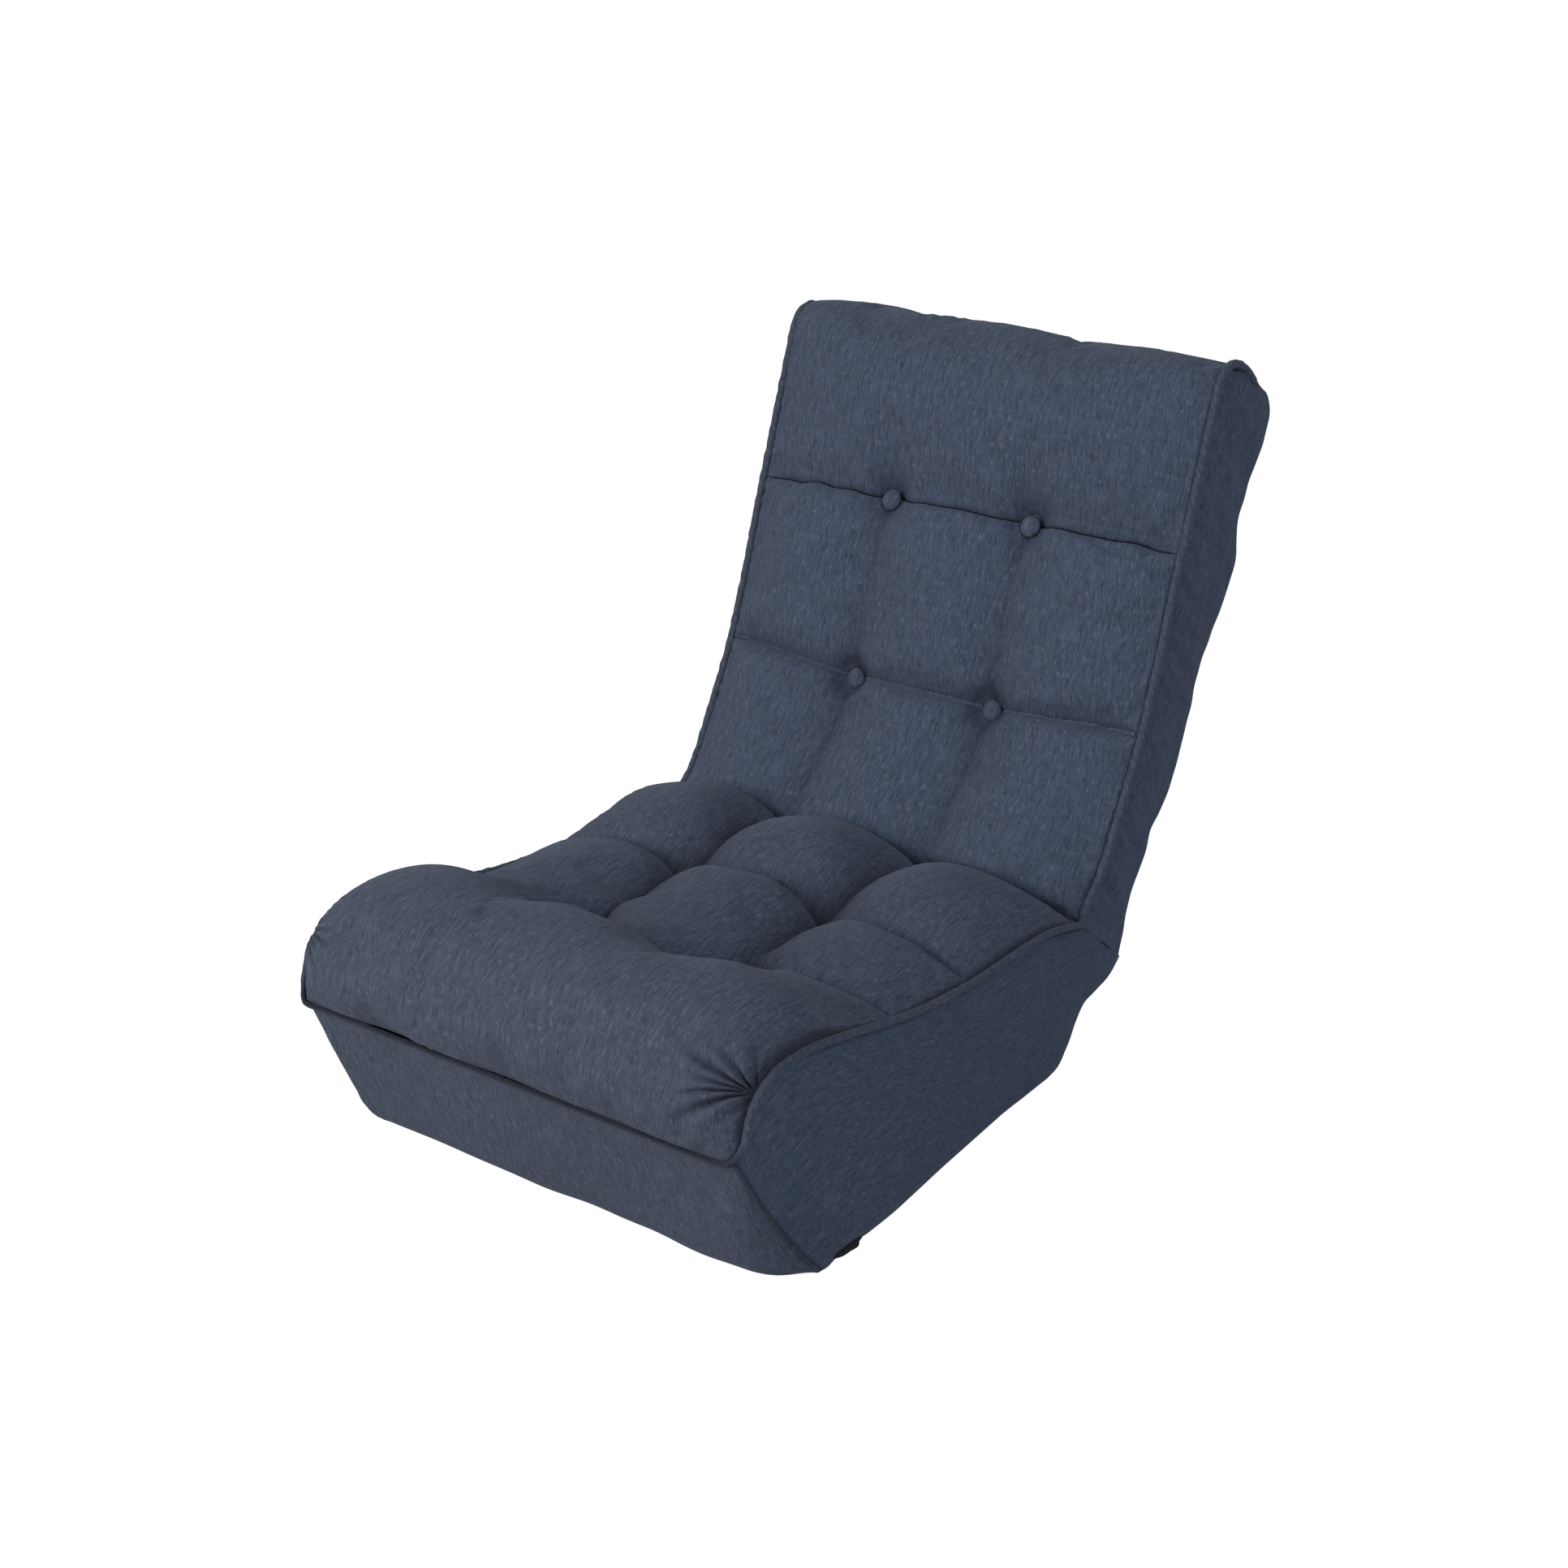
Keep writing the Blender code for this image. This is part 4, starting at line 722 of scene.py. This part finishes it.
def seat_cushion():
    row_1, row_2 = SEAT_ROWS
    u = graded(0, 1, 250, ((GATHER_U, 0.10, 1.3), (row_1.at, 0.05, 0.8), (row_2.at, 0.05, 0.8)))
    tufted = smooth((u - 0.34) / 0.16)
    skin = Skin(SEAT_LINE, u, 6.0 - 3.3 * tufted, 2.0 - 0.25 * tufted, CORNER_R)
    x = skin.x
    # The lines of tufts: none on the roll, less deep at a sewn row than between rows
    at_rows = 0.60 * bump(u - row_1.at, 0.07) + 0.30 * bump(u - row_2.at, 0.06)
    columns = 0.040 * smooth((u - 0.44) / 0.12) * (1 - at_rows) * (1 - 0.45 * smooth((u - 0.84) / 0.14))
    valley = tuft_field(u, x, SEAT_ROWS, columns, SEAT_LONG, (2.2, 1.3), thinning=0.55, tuft_r=0.062)
    valley = valley * short_of_rim(x, 0.05)
    skin.lift(-valley)
    rise = skin.uneven(SEAT_LONG, 3, 0.0022, 0.16)
    puckers = skin.stitches(SEAT_LONG, 11, 0.0020, 0.019, 0.040)
    rise = rise + puckers * (0.6 + smooth((u - 0.74) / 0.1))[:, None]
    # The left ends of the roll and of the rear puffs stand a little higher than the right ones
    rear = (smooth((u - 0.70) / 0.15) * (1 - smooth((u - 0.95) / 0.06)))[:, None]
    rise = rise + 0.014 * rear * smooth(-x / 0.2)
    rise = rise + 0.006 * bump(u - 0.42, 0.13)[:, None] * smooth((-x - 0.12) / 0.08) * skin.share
    # The crest of the roll sags in front of each line of tufts, more on the right
    sag = 0.010 * bump(x + 0.086, 0.055) + 0.020 * bump(x - 0.098, 0.085)
    rise = rise - sag * bump(u - 0.385, 0.12)[:, None]
    skin.lift(rise)
    in_from = HALF - np.abs(x)
    along = ((u - GATHER_U) * SEAT_LONG)[:, None] + 0 * x
    away = np.sqrt(in_from**2 + along**2) + 1e-6
    gather = seat_gathers(x, along, away, in_from)
    skin.lift(gather)
    skin.settle(np.maximum(skin.sewn_down(valley, 0.034), np.clip(1 - away / 0.07, 0, 1)))
    # Painted shade in the sewn valleys, in the folds of the gathers and along the front seam under the roll
    front = 0.9 * (1 - smooth(u / 0.012))[:, None]
    shade = seam_shade(valley, x, 0.046) + np.clip(-gather / 0.016, 0, 1) + front
    return skin, skin.made("seat_cushion_cover", (0, 0, -0.004), seat_linen, shade)


# Back cushion

def back_cushion():
    u = graded(0, 1, 190, ((BACK_ROWS[0].at, 0.06, 1.5), (1, 0.08, 1.5), (0, 0.08, 0.6)))
    skin = Skin(BACK_LINE, u, 4.2 + 0 * u, 1.5 + 0 * u)
    x, row = skin.x, BACK_ROWS[0].at
    lower = np.clip(np.sin(math.pi * u / row), 0, 1) * (u < row)
    upper = np.clip(np.sin(math.pi * (u - row) / (1 - row)), 0, 1) * (u > row)
    columns = 0.031 * (1 - 0.25 * lower) * (1 - 0.40 * upper) * (0.30 + 0.70 * smooth(u / 0.2))
    valley = tuft_field(u, x, BACK_ROWS, columns, BACK_LONG, (2.1, 1.35)) * short_of_rim(x, 0.07)
    skin.lift(-valley)
    skin.lift(skin.uneven(BACK_LONG, 5, 0.0018, 0.14) + skin.stitches(BACK_LONG, 21))
    skin.settle(skin.sewn_down(valley, 0.026))
    # The upper row wavers a little up and down
    waver = 0.0022 * ripple(x, 23, 0.075) * smooth((u - 0.86) / 0.14)[:, None] * short_of_rim(x, 0.1)
    skin.grid[:, :, 1] += waver * math.sin(BACK_LEAN)
    skin.grid[:, :, 2] += waver * math.cos(BACK_LEAN)
    skin.sink(LOWER_BUTTONS)
    skin.sink(UPPER_BUTTONS)
    return skin, skin.made("back_cushion_cover", (0, 0.004, 0), back_linen, seam_shade(valley, x, 0.043))


# Head cushion

HEAD_TOP = ((-HALF, 0.002), (-0.19, 0.001), (-0.12, -0.003), (0.00, -0.005), (0.09, -0.010), (0.118, -0.010),
            (0.17, -0.008), (0.23, -0.009), (HALF, -0.010))  # x and how far the top edge stands up there


def head_cushion(seam):
    """seam is the row of points where the back's cushion ends."""
    u = graded(0, 1, 150, ((0, 0.12, 1.6),))
    skin = Skin(HEAD_LINE, u, 4.6 + 3 * smooth((u - 0.55) / 0.2), 1.5 + 0 * u)
    x, along = skin.x, u[:, None]
    valley = 0.017 * (1 - pillow(along / 0.15, 2.0, 1.5)) + 0.010 * (1 - pillow(along / 0.36, 2.0, 1.3))
    valley = valley + 0.006 * (1 - smooth(along / 0.22)) * smooth((x - 0.09) / 0.08)
    valley = valley * short_of_rim(x, 0.07)
    from_tuft = np.sqrt((to_tuft_line(x) / 0.042) ** 2 + (along * HEAD_LONG / 0.085) ** 2)
    valley = valley + 0.025 * (1 - smooth(from_tuft))
    skin.lift(-valley)
    top = np.interp(x, *zip(*HEAD_TOP)) * skin.share**0.5 * bump(along - 0.82, 0.30)
    skin.lift(skin.uneven(HEAD_LONG, 8, 0.002, 0.15) + skin.stitches(HEAD_LONG, 31) + top)
    skin.settle(skin.sewn_down(valley, 0.020))
    skin.grid = skin.grid + (seam - skin.grid[0])[None] * (1 - smooth(u / 0.05))[:, None, None]
    skin.sink(UPPER_BUTTONS)
    # The left end of the head swells out a little further than its seam
    out = smooth((u - 0.25) / 0.4) * (1 - smooth((u - 0.9) / 0.1))
    skin.grid[:, :, 0] -= 0.005 * out[:, None] * smooth(-x / HALF)
    return skin, skin.made("head_cushion_cover", (0, 0.004, 0), back_linen, seam_shade(valley, x, 0.045))


seat_skin, seat_top = seat_cushion()
back_skin, back_front = back_cushion()
head_skin, head_front = head_cushion(back_skin.grid[-1])

# Side covers: ruled from the rim to the outer edge, which the side view gives as (y, z)

SEAT_EDGE = (
    (-0.224, 0.0030), (-0.192, 0.0110), (-0.15, 0.0070), (-0.10, 0.0020), (0.00, 0.001), (0.15, 0.001),
    (0.225, 0.001), (0.246, 0.006), (0.262, 0.022), (0.276, 0.044), (0.290, 0.059), (0.318, 0.066),
    (0.344, 0.073), (0.366, 0.090))
BACK_EDGE = (
    (0.366, 0.090), (0.373, 0.115), (0.377, 0.140), (0.393, 0.170), (0.411, 0.192), (0.423, 0.220),
    (0.455, 0.247), (0.478, 0.287), (0.499, 0.333), (0.517, 0.384), (0.540, 0.416), (0.571, 0.454),
    (0.592, 0.494), (0.588, 0.531), (0.612, 0.576), (0.641, 0.617), (0.651, 0.646), (0.638, 0.668),
    (0.614, 0.682), (0.591, 0.690))
CORNER_LINE = by_length(((0.2725, -0.3285, 0.161), (0.2745, -0.3105, 0.130), (0.2765, -0.288, 0.092),
                         (0.2805, -0.2605, 0.052), (0.2880, -0.238, 0.020), (0.2940, -0.224, 0.0030)))
FOOT_LINE = ((-0.226, 0.2945), (-0.190, 0.2955), (-0.151, 0.2935), (-0.067, 0.2850), (0.013, 0.2790),
             (0.129, 0.2720), (0.245, 0.2700), (0.300, 0.2700))  # y and x of a side cover's edge on the floor
FOOT_X = 0.2690  # where a side cover would reach the floor without its spread
SPLIT = 118  # the row below the head's axle where the covers of the back and the head join
SEAM_GROOVE = 0.0022  # depth of the corner seam
PUCKER, PUCKER_PERIOD = 0.0028, 0.028


def front_corner(v, way):
    """Corner seam between the front and a side cover, from the front seam down to the floor."""
    return through(CORNER_LINE, v) * np.array([way, 1, 1])


def side_grid(inner, outer, way, columns, bulge, seed, creases=0.0):
    """A side cover between the piping and its outer edge, slightly full, with soft folds and puckers."""
    v = np.linspace(0, 1, columns) ** 1.15
    yz = inner[:, None, :] * (1 - v)[None, :, None] + outer[:, None, :] * v[None, :, None]
    run = np.linspace(0, 1, len(inner))[:, None] * np.linalg.norm(np.diff(outer, axis=0), axis=1).sum()
    wide = np.linalg.norm(outer - inner, axis=1)[:, None] * v[None, :]
    middle = np.sin(math.pi * v)[None, :]
    fold = 0.0018 * swell(run + 0 * wide, wide, seed, 0.10) * (1 - smooth((v - 0.8) / 0.2))[None, :]
    fold = fold + creases * ripple(run + 0.15 * wide, seed + 7, 0.062) * middle**0.7
    pucker = PUCKER * ripple(run + 0.3 * wide, seed + 3, PUCKER_PERIOD) * bump(wide - 0.014, 0.045)
    full = smooth((wide - 0.002) / 0.022)
    x = HALF - 0.0035 + (0.0025 + bulge * middle + fold) * full + pucker
    x = way * (x - 0.006 * smooth((v - 0.93) / 0.07)[None, :])
    return v, run, np.concatenate([x[:, :, None], yz], axis=2)


def seat_side_cover(label, way):
    v, run, grid = side_grid(seat_inner, seat_outer, way, 60, 0.004, 41 + way)
    spread_out = np.interp(seat_outer[:, :1], *zip(*FOOT_LINE)) - FOOT_X
    grid[:, :, 0] += way * spread_out * smooth((v - 0.25) / 0.75)[None, :]
    grid = grid + (front_corner(v, way) - grid[0])[None] * (1 - smooth(run / 0.050))[:, :, None]
    grid = grid + SEAM_GROOVE * (1 - smooth(run / 0.0065))[:, :, None] * np.array([-way, 0.7, 0])
    # Painted shade along the corner seam with the front cover
    shade = 0.7 * (1 - smooth((run - 0.001) / 0.003)) + 0 * v[None, :]
    return shell(f"seat_side_cover_{label}", grid, side_linen, flip=way < 0, shade=shade)


def upper_side_cover(part, label, way):
    """The side cover of the back or the head: one cloth, in two pieces that meet at the split."""
    _, _, grid = side_grid(back_inner, back_outer, way, 40, 0.003, 51 + way, 0.0018)
    rows = slice(0, SPLIT + 1) if part == "back" else slice(SPLIT, None)
    return shell(f"{part}_side_cover_{label}", grid[rows], side_linen, flip=way < 0,
                 weave=flat_places(grid)[rows])


def rim_keys(rim, first, step):
    """Some points of a rim, with its last."""
    return [*rim[first:-6:step], rim[-1]]


seat_outer = even(SEAT_EDGE, 160)
seat_inner = even(rim_keys(seat_skin.rim, 0, 12), 160)
back_outer = even(BACK_EDGE, 240)
back_inner = even(rim_keys(back_skin.rim, 0, 12) + rim_keys(head_skin.rim, 12, 10), 240)
sides = []
for label, way in (("left", -1), ("right", 1)):
    sides.append(("seat", label, seat_side_cover(label, way)))
    for part in ("back", "head"):
        sides.append((part, label, upper_side_cover(part, label, way)))

# Front cover under the front seam

FRONT_LINE = by_length(((-0.330, 0.155), (-0.314, 0.120), (-0.297, 0.080), (-0.279, 0.038), (-0.270, 0.015),
                        (-0.258, 0.003), (-0.232, 0.0012)))


def front_cover():
    v = np.linspace(0, 1, 50)[:, None]
    across = graded(-1, 1, 120, ((-1, 0.2, 5), (1, 0.2, 5)))[None, :]
    middle, edge = through(FRONT_LINE, v[:, 0]), front_corner(v[:, 0], 1)
    turn_r = 0.083 + 0.090 * smooth(v / 0.9)
    turned = 1 - np.sqrt(1 - np.clip((np.abs(across) - 1 + turn_r) / turn_r, 0, 1) ** 2)
    x = edge[:, :1] * across
    belly = 0.010 * np.sin(math.pi * np.clip(v * 0.97, 0, 1) ** 1.5) * (1 - np.abs(across) ** 14)
    wave = 0.0032 * swell(x, v * 0.18 + 0 * x, 71, 0.16) * np.sin(math.pi * v) * (1 - turned)
    y = middle[:, :1] + (edge[:, 1:2] - middle[:, :1]) * turned - belly - wave
    z = middle[:, 1:] + (edge[:, 2:] - middle[:, 1:]) * turned
    # Small folds at the left end, the groove of each corner seam, and a loose hem
    left_end = bump(x + 0.245, 0.040) * np.sin(math.pi * v) ** 0.6
    y = y + 0.0024 * ripple(x + 0.55 * z, 19, 0.021) * left_end
    groove = SEAM_GROOVE * smooth((np.abs(across) - 0.986) / 0.014)
    x, y = x - np.sign(x) * groove, y + groove
    y = y + 0.004 * ripple(across, 17, 0.55) * smooth((v - 0.7) / 0.3) * (1 - turned)
    # Painted shade along both corner seams and along the top edge under the roll
    shade = 0.7 * smooth((np.abs(across) - 0.993) / 0.007) + 0 * z + 0.5 * (1 - smooth(v / 0.03))
    return shell("seat_front_cover", np.stack([x, y, z], -1), seat_linen, flip=True, shade=shade)


front = front_cover()

# Rear covers

REAR_ROWS, REAR_SPLIT, REAR_TOP = 260, 150, 222  # rows, where the two covers join, where the top starts
REAR_LONG = 0.95


def rear_covers():
    line = even(SEAT_EDGE[5:] + BACK_EDGE[1:], REAR_ROWS)
    across = np.linspace(-1, 1, 90)[None, :]
    x = (HALF - 0.0055) * across + 0 * line[:, :1]
    run = np.linspace(0, 1, REAR_ROWS)[:, None] * REAR_LONG
    ahead = tangents(line)
    sag = 0.0045 * swell(x, run + 0 * x, 81, 0.2) * (1 - across**6)
    y = line[:, :1] + ahead[:, 1:] * sag
    z = line[:, 1:] - ahead[:, :1] * sag
    # At its top it meets the end of the head's cushion
    end = head_skin.grid[-1]
    to_top = smooth((np.arange(REAR_ROWS) - REAR_TOP) / (REAR_ROWS - 1.0 - REAR_TOP))[:, None]
    y = y + (np.interp(x[-1], end[:, 0], end[:, 1]) - y[-1])[None, :] * to_top
    z = z + (np.interp(x[-1], end[:, 0], end[:, 2]) - z[-1])[None, :] * to_top
    grid = np.stack([x, y, z], -1)
    return (shell("rear_cover_lower", grid[:REAR_SPLIT + 1], black_lining, flip=True),
            shell("rear_cover_upper", grid[REAR_SPLIT:], black_lining, flip=True))


rear_low, rear_high = rear_covers()

# Bottom lining, with the pouch that hangs out at the front right corner

POUCH_Y, POUCH_HALF = -0.188, 0.052
POUCH_X, POUCH_OUT, POUCH_HIGH = 0.255, 0.0485, 0.0160
POUCH_FROM = 0.90  # share of the half width from which the pouch swells


def bottom_lining():
    across = graded(-1, 1, 110, ((1, 0.14, 5),))
    across, y = np.meshgrid(across, graded(-0.238, 0.232, 100, ((-0.2, 0.06, 2),)))
    pouch = bump(y - POUCH_Y, POUCH_HALF) ** 0.7
    fold = np.clip((across - POUCH_FROM) / (1 - POUCH_FROM), 0, 1)
    edge = np.interp(y, *zip(*FOOT_LINE)) - 0.008 - 0.040 * smooth((-0.198 - y) / 0.035)
    swollen = POUCH_X + (POUCH_OUT + 0.0015 * ripple(y, 5, 0.02)) * np.sin(math.pi * 0.72 * fold)
    pouched = np.where(fold > 0, swollen, POUCH_X * across / POUCH_FROM)
    x = edge * across * (1 - pouch) + pouched * pouch
    z = ABOVE_FLOOR + POUCH_HIGH * pouch * (1 - np.cos(math.pi * fold)) / 2
    return shell("bottom_lining", np.stack([x, y, z], -1), black_lining, LINING, flip=True)


bottom = bottom_lining()

# Piping

FRONT_SEAM = (-0.3320, 0.1565)  # y and z of the cord under the roll
TURN_Z = 0.180  # height where the turned-up cord joins the line of its side
UPPER_CORD_R = 1.15 * PIPING_R
WELT_R = 0.0025


def rim_path(curve, way, outward, lift):
    """The line of a side's piping, standing a little proud of the seam."""
    ahead = tangents(curve)
    yz = curve + np.column_stack([-ahead[:, 1], ahead[:, 0]]) * lift
    return np.column_stack([np.full(len(curve), way * (HALF + outward)), yz])


def front_shade(path):
    """The cord lies deep under the roll along the front, where its upper side gets painted shade."""
    return 1 - smooth((path[:, 1] - FRONT_SEAM[0]) / 0.012)


def seat_piping(label, way):
    """From the middle of the front seam round the corner and back along the side."""
    upward = rim_path(seat_inner, way, 0.0016, 0.0026)
    first = int(np.argmax(seat_inner[:, 1] > TURN_Z))
    start = np.array([way * (HALF - CORNER_R * (1 if way > 0 else LEFT_TURN)), *FRONT_SEAM])
    turn = np.linspace(0, math.pi / 2, 12)[1:-1]
    shares = np.column_stack([np.sin(turn), 1 - np.cos(turn), 1 - np.cos(turn)])
    corner = start + (upward[first] - start) * shares
    across = np.linspace((0, *FRONT_SEAM), start, 12)
    path = even(np.concatenate([across, corner, upward[first::6], upward[-1:]]), 320)
    return rope(f"seat_piping_{label}", path, PIPING_R, piping_linen, shade=front_shade)


def upper_piping(label, way):
    """Up the back and over the head: one cord, in two pieces that meet at the split."""
    path = even(rim_path(back_inner, way, 0.0008, 0.0030), 420)
    cut = int(np.argmin(np.linalg.norm(path[:, 1:] - back_inner[SPLIT], axis=1)))
    return (rope(f"back_piping_{label}", path[:cut + 1], UPPER_CORD_R, piping_linen),
            rope(f"head_piping_{label}", path[cut:], UPPER_CORD_R, piping_linen))


def lower_row_welt():
    """The thin ridge of cloth along the back's lower row of buttons."""
    grid = back_skin.grid
    rows = np.searchsorted(back_skin.u, row_line(BACK_ROWS[0], back_skin.x[0]))
    line = grid[np.clip(rows, 0, len(grid) - 1), np.arange(ACROSS)]
    path = line[4:-4] + np.array([0, -0.0021, 0.0012])
    return rope("lower_row_welt", even(path[::4], 220), WELT_R, back_linen, sides=8)


ropes = []
for label, way in (("left", -1), ("right", 1)):
    ropes.append(("seat", label, seat_piping(label, way)))
    for part, made in zip(("back", "head"), upper_piping(label, way)):
        ropes.append((part, label, made))
welt = lower_row_welt()

# Carried-over pieces

for name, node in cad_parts.items():
    chosen = enamel
    if "rivet" in name or "pin" in name:
        chosen = zinc
    if "spring" in name:
        chosen = spring_blue
    if name.startswith("button"):
        chosen = seat_linen
        places = np.array([v.co for v in node.data.vertices], float)
        set_weave(node.data, places[:, [0, 2, 1]])
    node.data.materials.clear()
    node.data.materials.append(chosen)

# Each piece is baked in place or attached to a body, and the model's parts that it takes the place of are
# hidden


def follow_recline(piece):
    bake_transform(piece)


def follow_tilt(piece):
    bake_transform(piece)


def follow(piece, part):
    if part == "head":
        follow_tilt(piece)
    else:
        follow_recline(piece)


follow_recline(seat_top)
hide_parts("seat_cushion", "seat_lower_foam")
follow_recline(back_front)
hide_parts("back_cushion", "back_foam", "lumbar_fold")
follow_tilt(head_front)
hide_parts("head_cushion", "head_foam", "neck_fold")
for part, label, made in sides:
    follow(made, part)
    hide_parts("seat_boxing" if part == "seat" else f"{part}_boxing_{label}")
for part, label, made in ropes:
    follow(made, part)
    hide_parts("seat_piping" if part == "seat" else f"{part}_piping_{label}")
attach(front, "seat")
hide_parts("seat_boxing")
follow_recline(rear_low)
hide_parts("rear_gusset", "back_rear_panel")
follow_tilt(rear_high)
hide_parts("head_rear_panel", "nape_fold")
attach(bottom, "seat")
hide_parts("seat_bottom_cloth")
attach(welt, "back")

# Camera, floor and lights

CAMERA_AT = (1.41128, -1.80253, 1.27869)
CAMERA_AZIMUTH, CAMERA_ELEVATION = math.radians(36.3957), math.radians(22.0794)
FLOOR_GREY, FLOOR_GLOW = 0.45, 0.90
FLOOR_HALF = 60.0


def set_camera():
    data = bpy.data.cameras.new("camera")
    data.lens = 55.834
    data.sensor_width = 36.0
    camera = bpy.data.objects.new("camera", data)
    bpy.context.scene.collection.objects.link(camera)
    level = math.cos(CAMERA_ELEVATION)
    behind = Vector((math.sin(CAMERA_AZIMUTH) * level, -math.cos(CAMERA_AZIMUTH) * level,
                     math.sin(CAMERA_ELEVATION)))
    turned = (-behind).to_track_quat("-Z", "Y").to_matrix().to_4x4()
    camera.matrix_world = Matrix.Translation(CAMERA_AT) @ turned
    bpy.context.scene.camera = camera


def floor_finish():
    """White floor: the camera sees it near white, with only the contact shadow left."""
    made = Finish("pale_floor", Roughness=1.0, Specular_IOR_Level=0.0,
                  Base_Color=(FLOOR_GREY, FLOOR_GREY, FLOOR_GREY, 1))
    plain = Wire(made.tree, made.shader.outputs[0])
    glow = made.node("ShaderNodeEmission", Strength=FLOOR_GLOW)
    glowing = made.node("ShaderNodeAddShader", _0=plain, _1=glow)
    seen = made.node("ShaderNodeLightPath")
    made.show(made.node("ShaderNodeMixShader", _0=seen, _1=plain, _2=glowing))
    return made.material


def area(name, place, aim, size, power, colour=(1, 1, 1)):
    data = bpy.data.lights.new(name, "AREA")
    data.shape = "RECTANGLE"
    data.size, data.size_y = size
    data.energy = power
    data.color = colour
    made = bpy.data.objects.new(name, data)
    bpy.context.scene.collection.objects.link(made)
    made.location = place
    made.rotation_euler = (Vector(aim) - Vector(place)).to_track_quat("-Z", "Y").to_euler()


def set_world():
    """Soft even light, with plain white where the camera sees past the floor."""
    world = bpy.data.worlds.new("studio")
    world.use_nodes = True
    bpy.context.scene.world = world
    made = Nodes(world.node_tree)
    light = made.node("ShaderNodeBackground", Color=(1, 1, 1, 1), Strength=0.22)
    white = made.node("ShaderNodeBackground", Color=(1, 1, 1, 1), Strength=1.0)
    made.show(made.node("ShaderNodeMixShader", _0=made.node("ShaderNodeLightPath"), _1=light, _2=white))


set_camera()
corners = [(x * FLOOR_HALF, y * FLOOR_HALF, -ABOVE_FLOOR) for x, y in ((-1, -1), (1, -1), (1, 1), (-1, 1))]
floor = new_object("floor", corners, [(0, 1, 2, 3)], floor_finish())
area("key_light", (-1.7, -3.4, 1.65), (0, 0.05, 0.25), (2.2, 2.0), 97)
area("fill_light", (2.8, -1.5, 2.6), (0, 0.3, 0.6), (2.2, 1.6), 52, (0.84, 0.92, 1.0))
area("top_light", (0.2, 0.6, 3.4), (0, 0.1, 0.2), (3.0, 3.0), 2)
set_world()
bpy.context.scene.view_settings.view_transform = "Standard"
